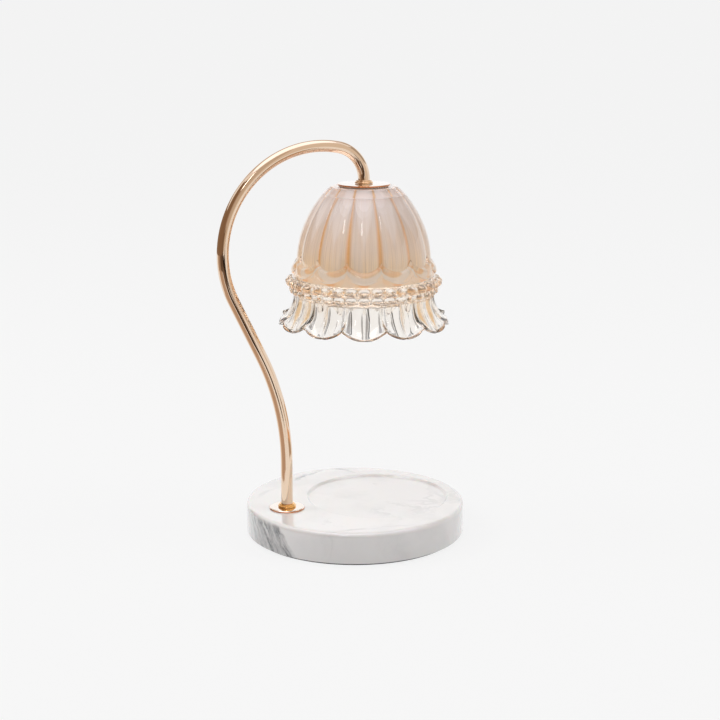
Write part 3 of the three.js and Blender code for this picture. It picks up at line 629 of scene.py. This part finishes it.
class GlassRing:
    """One ring of the glass: radius and drop at a petal's middle, and how the pattern cuts into them."""

    def __init__(self, radius, drop, petal=0.0, rise=0.0, flute=0.0, proud=0.0, level=0.0):
        self.radius, self.drop, self.petal, self.rise, self.flute = radius, drop, petal, rise, flute
        self.proud, self.level = proud, level

    def points(self):
        turns = np.arange(PETALS * SIDES_PER_PETAL)
        turn = 2 * (((turns / SIDES_PER_PETAL) + 0.5) % 1.0) - 1
        angle = math.radians(PETAL_TURN) + 2 * np.pi * turns / len(turns)
        petal, flute = petal_shape(turn), flute_shape(turn)
        reach = self.radius - self.petal * (1 - petal) - self.flute * (1 - flute)
        bulge = (1 - self.level ** 2 - (bead_turn(turn) / BEAD_SHARE) ** 2).clip(0)
        reach = reach + self.proud * np.sqrt(bulge)
        height = GLASS_TOP - self.drop + self.rise * (1 - petal)
        xs, ys = HEAD[0] + reach * np.cos(angle), HEAD[1] + reach * np.sin(angle)
        return list(zip(xs, ys, height))


def dome_radius(share):
    return SHOULDER[0] + (DOME[0] - SHOULDER[0]) * (1 - (1 - share) ** 2) ** 0.886


def shares(count, start=0.0):
    """Even shares from just above start up to 1."""
    return [start + (1 - start) * (i + 1) / count for i in range(count)]


def bead_row(radius, drop, height, proud, count):
    """Rings over a row of beads, each half an ellipsoid on a smooth band."""
    rings = []
    for i in range(count + 1):
        level = -math.cos(math.pi * i / count)
        rings.append(GlassRing(radius, drop + height / 2 * level, proud=proud, level=level))
    return rings


def quarter_turn(start, stop, count, petals, outward=True, rise=0.0):
    """Rings over a quarter of an ellipse, between two pairs of radius and drop. It sets off outward, or down.
    petals are the cuts at both ends."""
    rings = []
    for share in shares(count):
        turn = share * math.pi / 2
        across, down = math.sin(turn), 1 - math.cos(turn)
        if not outward:
            across, down = down, across
        radius = start[0] + (stop[0] - start[0]) * across
        drop = start[1] + (stop[1] - start[1]) * down
        rings.append(GlassRing(radius, drop, petal=petals[0] + (petals[1] - petals[0]) * share, rise=rise))
    return rings


def outer_rings():
    shoulder_petal = PETAL_DEPTH * SHOULDER[0] / DOME[0]
    flat = CROWN_RADIUS - CROWN_ROUND
    rings = [GlassRing(BORE_RADIUS + BORE_TOP_EDGE, 0.0), GlassRing(flat, 0.0, petal=shoulder_petal / 2)]
    rings += quarter_turn((flat, 0.0), SHOULDER, 4, (shoulder_petal / 2, shoulder_petal))
    for share in shares(34, 0.012):
        radius = dome_radius(share)
        drop = SHOULDER[1] + (DOME[1] - SHOULDER[1]) * share
        petal, rise = PETAL_DEPTH * radius / DOME[0], PETAL_RISE * share ** 4
        rings.append(GlassRing(radius, drop, petal=petal, rise=rise))
    slack = PETAL_TIP[0] - BAND[0] + PETAL_DEPTH
    rings += quarter_turn(DOME, PETAL_TIP, 6, (PETAL_DEPTH, slack), rise=PETAL_RISE)
    rings += quarter_turn(PETAL_TIP, PETAL_EDGE, 5, (slack, PETAL_DEPTH / 2), False, PETAL_RISE)
    rings.append(GlassRing(BAND[0] - 0.6, BAND[1] - 0.8, petal=0.3, rise=1.0))
    rings.append(GlassRing(*BAND))
    rings += bead_row(BAND[0], BEAD_DROP, BEAD_HEIGHT, BEAD_PROUD, 20)
    rings += bead_row(BAND[0] - 0.3, LIP_DROP, LIP_HEIGHT, LIP_PROUD, 10)
    rings.append(GlassRing(NECK[0] + 0.3, LIP_DROP + LIP_HEIGHT / 2 + 0.5, flute=0.2))
    rings.append(GlassRing(*NECK, flute=FLUTE_DEPTH / 2))
    for share in shares(16):
        radius = NECK[0] + (SKIRT_RADIUS - NECK[0]) * share ** 2
        drop = NECK[1] + (SHADE_HEIGHT - NECK[1] - HEM_ROUND) * share
        flute = FLUTE_DEPTH * min(1.0, 0.5 + share)
        rings.append(GlassRing(radius, drop, rise=NOTCH_DEPTH * share ** 3, flute=flute))
    return rings


def inner_skirt(share):
    neck = NECK[0] - NECK_WALL
    hem = SKIRT_RADIUS - FLUTE_DEPTH - HEM_WALL
    radius = neck + (hem - neck) * share ** 2
    drop = NECK[1] + (SHADE_HEIGHT - NECK[1] - HEM_ROUND) * share
    return GlassRing(radius, drop, rise=NOTCH_DEPTH * share ** 3)


def inner_dome(share, gap=0.0):
    drop = CROWN_WALL + (DOME[1] - CROWN_WALL) * share
    return GlassRing(dome_radius(share) - DOME_WALL - gap, drop + gap)


def inner_neck(share, gap=0.0):
    """Between the foot of the inner dome, at share 0, and the neck, at share 1."""
    dome = inner_dome(1.0)
    ease = share * share * (3 - 2 * share)
    radius = dome.radius + (NECK[0] - NECK_WALL - dome.radius) * ease - gap
    drop = dome.drop + (NECK[1] - dome.drop) * share
    return GlassRing(radius, drop + gap * (1 - share))


def hem_rings():
    """The rounded hem between the outer and the inner skirt."""
    rings = []
    half = (FLUTE_DEPTH + HEM_WALL) / 2
    middle_radius = SKIRT_RADIUS - half
    for i in range(1, 6):
        angle = math.pi * i / 6
        radius = middle_radius + half * math.cos(angle)
        flute = FLUTE_DEPTH * (0.5 + 0.5 * math.cos(angle))
        drop = SHADE_HEIGHT - HEM_ROUND + HEM_ROUND * math.sin(angle)
        rings.append(GlassRing(radius, drop, rise=NOTCH_DEPTH, flute=flute))
    return rings


def inner_rings():
    rings = [inner_skirt(share) for share in reversed([0.0] + shares(14))]
    rings += [inner_neck(share) for share in reversed(shares(8)[:-1])]
    rings += [inner_dome(share) for share in reversed(shares(28, 0.02))]
    rings.append(GlassRing(inner_dome(0.02).radius - 0.5, CROWN_WALL))
    rings.append(GlassRing(BORE_RADIUS + BORE_FOOT_EDGE, CROWN_WALL))
    rings.append(GlassRing(BORE_RADIUS, CROWN_WALL - BORE_FOOT_EDGE))
    rings.append(GlassRing(BORE_RADIUS, BORE_TOP_EDGE))
    return rings


def glass_shade():
    rings = [ring.points() for ring in outer_rings() + hem_rings() + inner_rings()]
    made = piece("pressed_glass", *skin(rings[::-1], closed=True), shade_glass_material(), sharp=60)
    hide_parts("glass_shade")
    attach(made, "head")


def pearl_coat():
    """A thin skin that lines the dome, from the crown down to the beads."""
    def rings(gap):
        made = [GlassRing(width("gasket_lower") / 2 + 0.4, CROWN_WALL + gap)]
        made += [inner_dome(share, gap) for share in shares(28, 0.02)]
        made += [inner_neck(share, gap) for share in shares(8)[:COAT_FOOT]]
        return made
    outside, inside = rings(-COAT_BITE), rings(COAT_WALL - COAT_BITE)
    around = [r.points() for r in inside + outside[::-1]]
    made = piece("pearl_coat", *skin(around, closed=True), pearl_material(), sharp=60)
    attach(made, "head")


# Base

SEAT_CENTRE = 17.0
SEAT_RADIUS = 49.0
SEAT_SLOPE = 1.8
SEAT_DEPTH = 1.5
TOP_ROUND = 3.0
BOTTOM_ROUND = 1.0
GROOVE_SLACK = 0.3
POCKET_ROOM = 4.0  # round the washer, for a spanner
POLE_HOLE = 4.15


def marble_base():
    sides = 192
    bottom, top = levels("marble_base")
    radius = width("marble_base") / 2
    rings = [circle(0, bottom, sides)]
    for r, h in arc((radius - BOTTOM_ROUND, bottom + BOTTOM_ROUND), BOTTOM_ROUND, -90, 0, 4):
        rings.append(circle(r, h, sides))
    for r, h in arc((radius - TOP_ROUND, top - TOP_ROUND), TOP_ROUND, 0, 90, 10):
        rings.append(circle(r, h, sides))
    floor = top - SEAT_DEPTH
    edge = softened([
        (SEAT_RADIUS + 3, top), (SEAT_RADIUS, top, 1.0), (SEAT_RADIUS - SEAT_SLOPE, floor, 1.0), (0, floor),
    ], 6)
    for r, h in edge:
        rings.append(circle(r, h, sides, (SEAT_CENTRE, 0)))
    stone = marble_material()
    made = piece("marble_slab", *skin(rings, closed=False), stone)
    below = bottom - 1
    groove_half = GROOVE_SLACK - low("cord_grommet").x
    groove_top = high("cord_grommet").z + GROOVE_SLACK
    pocket_top = high("pole_washer").z + 0.05
    pocket_radius = width("pole_washer") / 2 + POCKET_ROOM
    pocket = softened([(0, below), (pocket_radius, below), (pocket_radius, pocket_top), (0, pocket_top)])
    hole = [(0, below), (POLE_HOLE, below), (POLE_HOLE, top + 1), (0, top + 1)]
    carve(made, [
        lathe("cutter", pocket, stone, 48, FOOT),
        lathe("cutter", hole, stone, 48, FOOT),
        block((FOOT[0], -groove_half, below), (groove_half, groove_half, groove_top), stone),
        block((-groove_half, 0, below), (groove_half, radius + 1, groove_top), stone),
    ])
    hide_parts("marble_base")
    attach(made, "base")


def foot_pad():
    radius, top = width("foot_pad") / 2, high("foot_pad").z
    rubber = matt_material("pad_foam", (52, 52, 55), (38, 38, 40), 0.85, 1.6, 0.12)
    groove_in, groove_out, groove_top = radius - 7, radius - 5, 0.5
    outline = softened([
        (0, 0), (groove_in, 0, 0.2), (groove_in + 0.4, groove_top, 0.2), (groove_out - 0.4, groove_top, 0.2),
        (groove_out, 0, 0.2), (radius, 0, 0.4), (radius, top, 0.3), (0, top),
    ])
    made = lathe("anti_slip_pad", outline, rubber, 192)
    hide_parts("foot_pad")
    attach(made, "base")


def cord_grommet():
    lowest, highest = low("cord_grommet"), high("cord_grommet")
    centre_x, centre_z = middle("cord_grommet").x, middle("cord_grommet").z
    half = (highest.z - lowest.z) / 2
    hole = 1.85
    steps = 12

    def square(y, size, corner):
        """A rounded square in the XZ plane."""
        ring = []
        for quarter in range(4):
            start = quarter * 90
            cx = (size - corner) * (1 if quarter in (0, 3) else -1)
            cz = (size - corner) * (1 if quarter in (0, 1) else -1)
            for i in range(steps):
                a = math.radians(start + 90 * i / (steps - 1))
                ring.append((centre_x + cx + corner * math.cos(a), y, centre_z + cz + corner * math.sin(a)))
        return ring

    def round_hole(y, radius):
        ring = []
        for quarter in range(4):
            for i in range(steps):
                a = math.radians(quarter * 90 + 90 * (i + 0.5) / steps)
                ring.append((centre_x + radius * math.cos(a), y, centre_z + radius * math.sin(a)))
        return ring

    near, far = lowest.y, highest.y
    rings = [
        square(near, half - 0.1, 1.2), square(near + 0.1, half, 1.2), square(far - 0.5, half, 1.2),
        square(far - 0.15, half - 0.15, 1.1), square(far, half - 0.5, 1.0),
        round_hole(far, hole + 0.45), round_hole(far - 0.15, hole + 0.12), round_hole(far - 0.5, hole),
        round_hole(near, hole),
    ]
    rubber = matt_material("grommet_rubber", (48, 48, 50), (36, 36, 38), 0.6, 2.5, 0.04)
    made = piece("lead_grommet", *skin(rings, closed=True), rubber)
    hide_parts("cord_grommet")
    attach(made, "base")


# Gold hardware

PLATE_BORE = 4.12
COLLAR_BORE = 4.05


def disc_gold(name, place, radius):
    """Pale champagne plating, with a painted reflection round the rim of a disc: a deeper orange there for
    the darker surroundings the rounded rim reflects.
    """
    made, t = material(name)
    from_axis = t.spot((*place, 0))
    x, y, _ = t.parts(from_axis)
    reach = t.length(t.joined(x, y, 0.0))
    streak = t.noise(from_axis, 1.6, 4.0, 0.6)
    cloud = t.ramp(t.noise(from_axis, 0.09), 0.35, 0.7, 0.0, 0.4)
    top = t.mix(cloud, (253, 243, 233), (250, 233, 215))
    # Painted reflection: the rim is painted a deeper orange, for the darker surroundings its rounded edge
    # reflects.
    tone = t.mix(t.ramp(reach, radius - 0.55, radius - 0.2), top, (214, 140, 84))
    t.done(t.surface({
        "Base Color": tone, "Metallic": 1.0, "Roughness": t.ramp(streak, 0.3, 0.7, 0.06, 0.1),
        "Normal": t.bump(streak, 0.002), "Coat Weight": 1.0, "Coat Roughness": 0.03,
    }))
    return made


def pole_flange():
    node = "pole_flange"
    bottom, top = levels(node)
    outer = width(node) / 2
    outline = softened([
        (PLATE_BORE, bottom), (outer - 0.2, bottom, 0.2), (outer, bottom + 0.5, 0.3), (outer - 0.9, top, 0.7),
        (PLATE_BORE, top),
    ])
    made = lathe("pole_flange_plate", outline, disc_gold("gold_flange", FOOT, outer), 128, FOOT)
    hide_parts(node)
    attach(made, "base")


def collar(node, body, place, colour, deep):
    """A round nut: a wide foot ring and a narrower neck with rounded edges."""
    bottom, top = levels(node)
    outer = width(node) / 2
    waist = bottom + (top - bottom) * 0.55
    outline = softened([
        (COLLAR_BORE, bottom), (outer, bottom, 0.35), (outer, waist, 0.45), (outer - 0.8, waist + 0.1, 0.12),
        (outer - 0.9, top, 0.4), (COLLAR_BORE, top),
    ], 6)
    finish = metal_material(node + "_gold", colour, deep, 0.09, lacquer=1.0)
    made = lathe(node + "_nut", outline, finish, 96, place)
    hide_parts(node)
    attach(made, body)


def canopy_disc():
    node = "canopy_disc"
    finish = disc_gold("gold_canopy", HEAD, width(node) / 2)
    bottom, top = levels(node)
    made = plate("canopy_plate", width(node) / 2, PLATE_BORE, bottom, top, 0.45, finish, 160, HEAD)
    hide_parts(node)
    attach(made, "head")


# The arm tube

TUBE_RADIUS = 4.0
TUBE_BORE = 3.0
LOWER_STRAIGHT = 31.6
LEAN = (174.0, 26.0)  # radius and angle in degrees
LEAN_STRAIGHT = 42.4
CROOK = (68.4, 128.0)
DROP_RADIUS = 22.6
BEND_STEP = 1.25  # degrees


def arm_line():
    """Points and directions along the tube, from its lower end to its upper end, in the plane y = 0."""
    at = np.array([FOOT[0], low("arm_tube").z])
    heading = 0.0  # degrees from straight up, towards -X

    def direction():
        return np.array([-math.sin(math.radians(heading)), math.cos(math.radians(heading))])

    line = [(at.copy(), direction())]
    marble_top = high("marble_base").z
    drop_angle = 180 + LEAN[1] - CROOK[1]
    bends = [
        (marble_top + LOWER_STRAIGHT - at[1], None), (LEAN[0], LEAN[1]), (LEAN_STRAIGHT, None),
        (CROOK[0], -CROOK[1]), (DROP_RADIUS, -drop_angle),
    ]
    for length, angle in bends:
        if angle is None:
            at = at + direction() * length
            line.append((at.copy(), direction()))
            continue
        steps = math.ceil(abs(angle) / BEND_STEP)
        sign = math.copysign(1, angle)
        inward = direction()
        centre = at + sign * np.array([-inward[1], inward[0]]) * length
        start = heading
        for i in range(1, steps + 1):
            heading = start + angle * i / steps
            facing = direction()
            at = centre - sign * np.array([-facing[1], facing[0]]) * length
            line.append((at.copy(), facing))
    end = np.array([at[0], middle("tube_bush_top").z])
    line.append((end, direction()))
    return line


def arm_tube():
    sides = 72
    line = arm_line()

    def ring(at, facing, radius):
        side = np.array([facing[1], -facing[0]])
        made = []
        for k in range(sides):
            a = 2 * math.pi * k / sides
            flat = at + side * radius * math.cos(a)
            made.append((flat[0], radius * math.sin(a), flat[1]))
        return made

    outer = [ring(at, facing, TUBE_RADIUS) for at, facing in line]
    inner = [ring(at, facing, TUBE_BORE) for at, facing in line]
    ends = high("marble_base").z, low("canopy_disc").z
    finish = threaded_material("champagne_tube", (239, 213, 187), (233, 200, 170), 0.07, ends)
    made = piece("bent_tube", *skin(outer + inner[::-1], closed=True), finish, sharp=50)
    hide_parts("arm_tube")
    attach(made, "arm")


# The bulb and its holder

def lamp_holder():
    node = "lamp_holder"
    bottom, top = levels(node)
    outer = width(node) / 2
    ceramic = matt_material("holder_ceramic", (243, 238, 228), (232, 226, 214), 0.55, 2.2, 0.03)
    outline = softened([(0, bottom), (outer, bottom, 0.8), (outer, top, 0.6), (0, top)])
    made = lathe("ceramic_holder", outline, ceramic, 128, HEAD)
    sink, sink_top, screw_reach = 3.0, bottom + 2.3, 10.0
    sunk = [(0, bottom - 1), (sink, bottom - 1), (sink, sink_top), (0, sink_top)]
    screws = [(HEAD[0] + side * screw_reach, 0) for side in (-1, 1)]
    carve(made, [lathe("cutter", sunk, ceramic, 48, screw) for screw in screws])
    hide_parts(node)
    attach(made, "head")


def bulb_base():
    node = "bulb_base"
    bottom, top = levels(node)
    outer = width(node) / 2
    ceramic = matt_material("bulb_ceramic", (238, 233, 224), (228, 222, 212), 0.3, 1.4, 0.02)
    socket, depth = 7.1, 6.0
    outline = softened([
        (0, bottom + depth), (socket, bottom + depth, 0.2), (socket, bottom, 0.3), (outer, bottom, 0.5),
        (outer, top, 0.8), (0, top),
    ])
    made = lathe("bulb_cap", outline, ceramic, 96, HEAD)
    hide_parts(node)
    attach(made, "bulb")


def bulb_reflector():
    """A pressed-glass bowl with small facets inside."""
    node = "bulb_reflector"
    face, neck_top = levels(node)
    rim = width(node) / 2
    neck, wall, dimple = 7.0, 1.3, 0.35
    bowl_top = low("bulb_base").z - 0.3
    depth = bowl_top - face
    sides, rows = 144, 30

    def radius_at(share):
        return neck + (rim - neck) * share ** 0.6

    def ring(radius, height, row=0):
        """A ring of the bowl. Three rows and a 24th of a turn make one facet."""
        made = []
        for k in range(sides):
            a = 2 * math.pi * k / sides
            r = radius + dimple * abs(math.sin(12 * a)) * abs(math.sin(math.pi * row / 3))
            made.append((HEAD[0] + r * math.cos(a), r * math.sin(a), height))
        return made

    outside, inside = [], []
    for i in range(rows + 1):
        share = (i / rows) ** 1.6
        radius, height = radius_at(share), bowl_top - depth * share
        outside.append(ring(radius, height))
        inside.append(ring(radius - wall, height, i if i < rows - 2 else 0))
    rings = [ring(neck, neck_top)] + outside + inside[::-1] + [ring(neck - wall, neck_top)]
    mirror = metal_material("reflector_mirror", (226, 228, 232), (205, 208, 214), 0.06)
    made = piece("mirror_bowl", *skin(rings[::-1], closed=True), mirror, sharp=20)
    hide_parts(node)
    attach(made, "bulb")


def bulb_front():
    node = "bulb_front_glass"
    bottom, top = levels(node)
    outer = width(node) / 2
    outline = softened([(0, bottom), (outer, bottom, 0.3), (outer - 1.2, top, 0.3), (0, top)])
    made = lathe("bulb_lens", outline, clear_material("lens_glass"), 96, HEAD)
    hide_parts(node)
    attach(made, "bulb")


def bulb_capsule():
    node = "bulb_capsule"
    bottom, top = levels(node)
    tip = width(node) / 2
    stem, stem_foot = 4.9, top - 5.6
    outline = arc((0, bottom + tip), tip, -90, 0, 12)
    outline[0] = (0, bottom)
    outline += softened([(tip, stem_foot - 1.0, 1.0), (stem, stem_foot, 0.5), (stem, top, 0.2), (0, top)])
    made = lathe("quartz_capsule", outline, clear_material("capsule_glass"), 64, HEAD)
    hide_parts(node)
    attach(made, "bulb")


def holder_screws():
    steel = metal_material("screw_steel", (196, 198, 202), (172, 174, 178), 0.25)
    for number in (1, 2):
        node = f"holder_screw_{number}"
        bottom, top = levels(node)
        head, shank, head_top = 2.7, 1.5, bottom + 2.0
        outline = softened([
            (0, bottom), (head, bottom, 0.7), (head, head_top), (shank, head_top), (shank, top, 0.3),
            (0, top),
        ])
        centre = middle(node).x
        made = lathe(f"cross_screw_{number}", outline, steel, 48, (centre, 0))
        arm, half, deep = 1.6, 0.4, bottom + 1.1
        carve(made, [
            block((centre - arm, -half, bottom - 1), (centre + arm, half, deep), steel),
            block((centre - half, -arm, bottom - 1), (centre + half, arm, deep), steel),
        ])
        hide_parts(node)
        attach(made, "head")


def upper_gasket():
    node = "gasket_upper"
    soft = matt_material("clear_silicone", (226, 222, 214), (214, 210, 202), 0.4, 1.5, 0.02)
    bottom, top = levels(node)
    made = plate("silicone_gasket", width(node) / 2, PLATE_BORE, bottom, top, 0.2, soft, 96, HEAD)
    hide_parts(node)
    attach(made, "head")
    return soft


def finish_inner_parts(silicone):
    """Finishes for the CAD nodes that stay."""
    steel = metal_material("zinc_steel", (190, 192, 197), (164, 167, 172), 0.28)
    sheath = matt_material("lead_sheath", (240, 237, 228), (228, 224, 214), 0.5, 1.8, 0.02)
    nylon = matt_material("white_nylon", (236, 234, 228), (226, 224, 217), 0.45, 1.5, 0.02)
    brass = metal_material("contact_brass", (206, 174, 104), (184, 148, 82), 0.25)
    pin = metal_material("pin_metal", (204, 205, 207), (184, 186, 189), 0.2)
    finishes = {
        steel: ["pole_washer", "foot_lock_washer", "foot_nut", "head_lock_washer", "head_nut", "clamp_disc",
                "holder_bracket"],
        sheath: ["lead_base", "lead_arm", "lead_core_1", "lead_core_2"],
        nylon: ["tube_bush_bottom", "tube_bush_top"],
        silicone: ["gasket_lower"],
        brass: ["holder_contact_1", "holder_contact_2"],
        pin: ["bulb_pin_1", "bulb_pin_2"],
    }
    for finish, nodes in finishes.items():
        for node in nodes:
            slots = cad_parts[node].data.materials
            slots.clear()
            slots.append(finish)


# Stage, lamps and camera

VIEW_ANGLE = 24.8  # degrees, of the camera's heading from +Y towards +X
CAMERA_PLACE = (-446.6, -964.6, 368.3)
CAMERA_PITCH = 13.1
CAMERA_LENS = 80.25
CAMERA_SHIFT = 0.0086
BACKGROUND = linear(246, 246, 246)
PAPER_GLOW = 0.905  # the share of the background's tone that the paper gives out itself
PAPER_TONE = 0.09


def seen_directly(t):
    """1 for rays from the camera, and those that metal reflects or glass lets through."""
    path = t.node("ShaderNodeLightPath")
    total = t.plus(path.outputs["Is Camera Ray"], path.outputs["Is Glossy Ray"])
    return t.calc("MINIMUM", t.plus(total, path.outputs["Is Transmission Ray"]), 1.0)


BOARDS = [  # bearings, nearest and farthest radius and height, and colour
    ((-20, 17), (245, 1), (345, 1), (0.045, 0.030, 0.022)),
    ((-20, 8), (345, 1), (450, 1), (0.045, 0.030, 0.022)),
    ((8, 17), (345, 1), (450, 1), (0.22, 0.15, 0.10)),
    ((17, 30), (420, 1), (600, 1), (0.20, 0.135, 0.09)),
    ((-22, 10), (450, 1), (850, 1), (0.16, 0.105, 0.07)),
    ((10, 22), (600, 1), (850, 1), (0.070, 0.045, 0.030)),
    ((22, 30), (600, 1), (850, 1), (0.085, 0.055, 0.035)),
    ((10, 44), (850, 1), (1250, 1), (0.018, 0.011, 0.007)),
    ((50, 66), (420, 1), (560, 1), (0.22, 0.15, 0.09)),
    ((-5, 10), (850, 1), (1500, 1), (0.045, 0.030, 0.020)),
    ((-22, -5), (850, 1), (1500, 1), (0.14, 0.09, 0.06)),
    ((-38, -22), (650, 1), (1500, 1), (0.11, 0.07, 0.045)),
    ((-52, -38), (650, 1), (1500, 1), (0.22, 0.15, 0.10)),
    ((-82, -52), (650, 1), (1500, 1), (0.40, 0.28, 0.20)),
    ((-97, -82), (650, 1), (1500, 1), (0.62, 0.50, 0.40)),
    ((-84, -46), (184, 1), (650, 1), (0.51, 0.37, 0.276)),
    ((-105, -84), (184, 1), (350, 1), (0.72, 0.58, 0.47)),
    ((-46, -28), (200, 1), (650, 1), (0.51, 0.37, 0.276)),
    ((45, 110), (176, 1), (255, 1), (0.47, 0.35, 0.25)),
    ((58, 104), (255, 1), (345, 1), (0.75, 0.42, 0.22)),
    ((50, 72), (345, 1), (420, 1), (0.50, 0.40, 0.31)),
    ((110, 150), (400, 1), (900, 1), (0.62, 0.40, 0.22)),
    ((-140, -84), (1500, 1), (1500, 850), (0.26, 0.17, 0.11)),
    ((-84, -20), (1500, 1), (1500, 1950), (0.24, 0.15, 0.09)),
    ((-20, -8), (1500, 1), (1500, 400), (0.20, 0.13, 0.08)),
    ((-20, -8), (1500, 400), (1500, 1950), (0.38, 0.27, 0.20)),
    ((-16, -9), (1490, 1150), (1490, 1800), (4.5, 4.5, 4.6)),
    ((-8, 8), (1500, 1), (1500, 270), (0.22, 0.145, 0.09)),
    ((-8, 8), (1500, 270), (1500, 2200), (0.53, 0.44, 0.37)),
    ((8, 34), (1500, 1), (1500, 2200), (0.58, 0.49, 0.40)),
    ((34, 84), (1500, 1), (1500, 2050), (0.74, 0.66, 0.58)),
    ((84, 126), (1500, 500), (1500, 1400), (0.42, 0.36, 0.30)),
    ((115, 245), (1500, 1000), (1500, 2300), (0.55, 0.47, 0.41)),
    ((150, 212), (2600, 260), (2600, 1200), (1.0, 1.0, 1.0)),
    ((-180, 180), (1, 1700), (930, 1700), (1.5, 1.52, 1.65)),
    ((-180, 180), (930, 1700), (1180, 1700), (0.9, 0.86, 0.86)),
]
GLASS_BOARDS = [  # the same, for boards that only light through glass shows
    ((163, 171), (450, 1), (900, 1), (0.36, 0.35, 0.35)),
    ((189, 197), (450, 1), (900, 1), (0.36, 0.35, 0.35)),
    ((172, 174), (450, 1), (900, 1), (0.03, 0.03, 0.03)),
    ((60, 140), (1500, 60), (1500, 900), (0.78, 0.54, 0.30)),
    ((-140, -60), (1500, 60), (1500, 900), (0.80, 0.60, 0.38)),
]


def studio_world():
    world = bpy.data.worlds.new("studio")
    bpy.context.scene.world = world
    t = Tree(world)
    lit = t.node("ShaderNodeBackground", {"Color": (1.0, 0.995, 0.99, 1.0), "Strength": 0.55}).outputs[0]
    seen = t.node("ShaderNodeBackground", {"Color": BACKGROUND, "Strength": 1.0}).outputs[0]
    t.done(t.blend(seen_directly(t), lit, seen), "World")


def studio_floor():
    """Pale paper. It glows a little where it is seen, so that it is as pale as the background."""
    made, t = material("floor_paper")
    glow = t.node("ShaderNodeEmission", {"Color": BACKGROUND, "Strength": PAPER_GLOW}).outputs[0]
    grey = (PAPER_TONE, PAPER_TONE, PAPER_TONE, 1.0)
    thin = t.node("ShaderNodeBsdfDiffuse", {"Color": grey}).outputs[0]
    both = t.node("ShaderNodeAddShader", {0: glow, 1: thin}).outputs[0]
    plain = t.node("ShaderNodeBsdfDiffuse", {"Color": (0.56, 0.555, 0.55, 1.0)}).outputs[0]
    solid = t.blend(seen_directly(t), plain, both)
    clear = t.node("ShaderNodeBsdfTransparent").outputs[0]
    t.done(t.blend(t.node("ShaderNodeNewGeometry").outputs["Backfacing"], solid, clear))
    reach, level = 60000, -0.05
    points = [(-reach, -reach, level), (reach, -reach, level), (reach, reach, level), (-reach, reach, level)]
    floor = piece("studio_floor", points, [(0, 1, 2, 3)], made)


def studio_board(name, right, near, far, shade, in_glass=False):
    """A board that only reflections show, or only glass that light passes through. It spans two bearings, in
    degrees to the picture's right of the camera, from a near (radius, height) to a far one."""
    made, t = material(name)
    t.done(t.node("ShaderNodeEmission", {"Color": (*shade, 1.0), "Strength": 1.0}).outputs[0])
    steps = math.ceil((right[1] - right[0]) / 5)
    points = []
    for radius, height in (near, far):
        for bearing in np.linspace(*right, steps + 1):
            heading = math.radians(VIEW_ANGLE + 180 - bearing)
            points.append((radius * math.sin(heading), radius * math.cos(heading), height))
    faces = [(i, i + 1, i + steps + 2, i + steps + 1) for i in range(steps)]
    board = piece(name, points, faces, made)
    board.visible_camera = False
    board.visible_diffuse = False
    board.visible_shadow = False
    board.visible_glossy = not in_glass
    board.visible_transmission = in_glass


def facing(right, elevation):
    """The direction of a bearing and an elevation in degrees."""
    a, e = math.radians(VIEW_ANGLE + 180 - right), math.radians(elevation)
    return Vector((math.sin(a) * math.cos(e), math.cos(a) * math.cos(e), math.sin(e)))


def lamp(name, kind, out, strength):
    """A lamp that shines from a direction."""
    data = bpy.data.lights.new(name, kind)
    data.energy = strength
    made = added(name, data)
    made.rotation_mode = "QUATERNION"
    made.rotation_quaternion = out.to_track_quat("Z", "Y")
    return made


def softbox(name, right, elevation, distance, size, strength, target=(0, 0, 130)):
    """A square area lamp that faces the target from a bearing and elevation in degrees."""
    out = facing(right, elevation)
    made = lamp(name, "AREA", out, strength)
    made.data.shape = "SQUARE"
    made.data.size = size * MM
    made.location = (Vector(target) + out * distance) * MM
    made.visible_camera = False
    made.visible_glossy = False
    made.visible_transmission = False
    return made


def studio():
    studio_world()
    studio_floor()
    for number, board in enumerate(BOARDS):
        studio_board(f"board_{number}", *board)
    for number, board in enumerate(GLASS_BOARDS):
        studio_board(f"glass_board_{number}", *board, in_glass=True)
    sun = lamp("overhead", "SUN", facing(-50, 78), 0.50)
    sun.data.angle = math.radians(30)
    softbox("left", -92, 42, 1500, 700, 7.5)
    softbox("right", 84, 42, 1500, 700, 5.6)
    inside = softbox("inside", 0, -80, 60, 30, 0.09, (*HEAD, 190))
    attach(inside, "head")


def camera():
    data = bpy.data.cameras.new("camera")
    data.lens = CAMERA_LENS
    data.shift_x = CAMERA_SHIFT
    data.clip_end = 200
    made = added("camera", data)
    made.location = Vector(CAMERA_PLACE) * MM
    made.rotation_euler = (math.radians(90 - CAMERA_PITCH), 0, math.radians(-VIEW_ANGLE))
    bpy.context.scene.camera = made


# Everything together

camera()
studio()
bpy.context.scene.view_settings.view_transform = "Standard"

foot_pad()
marble_base()
cord_grommet()
pole_flange()
# The two collars share one plating: the foot collar's deeper orange is painted reflection of its warm, dark
# surroundings, and the head collar's paler gold is painted for its lighter ones.
collar("foot_collar", "arm", FOOT, (255, 200, 118), (244, 170, 88))
arm_tube()
collar("head_collar", "arm", HEAD, (246, 208, 166), (230, 176, 122))
canopy_disc()
silicone = upper_gasket()
glass_shade()
pearl_coat()
lamp_holder()
holder_screws()
bulb_base()
bulb_reflector()
bulb_front()
bulb_capsule()
finish_inner_parts(silicone)
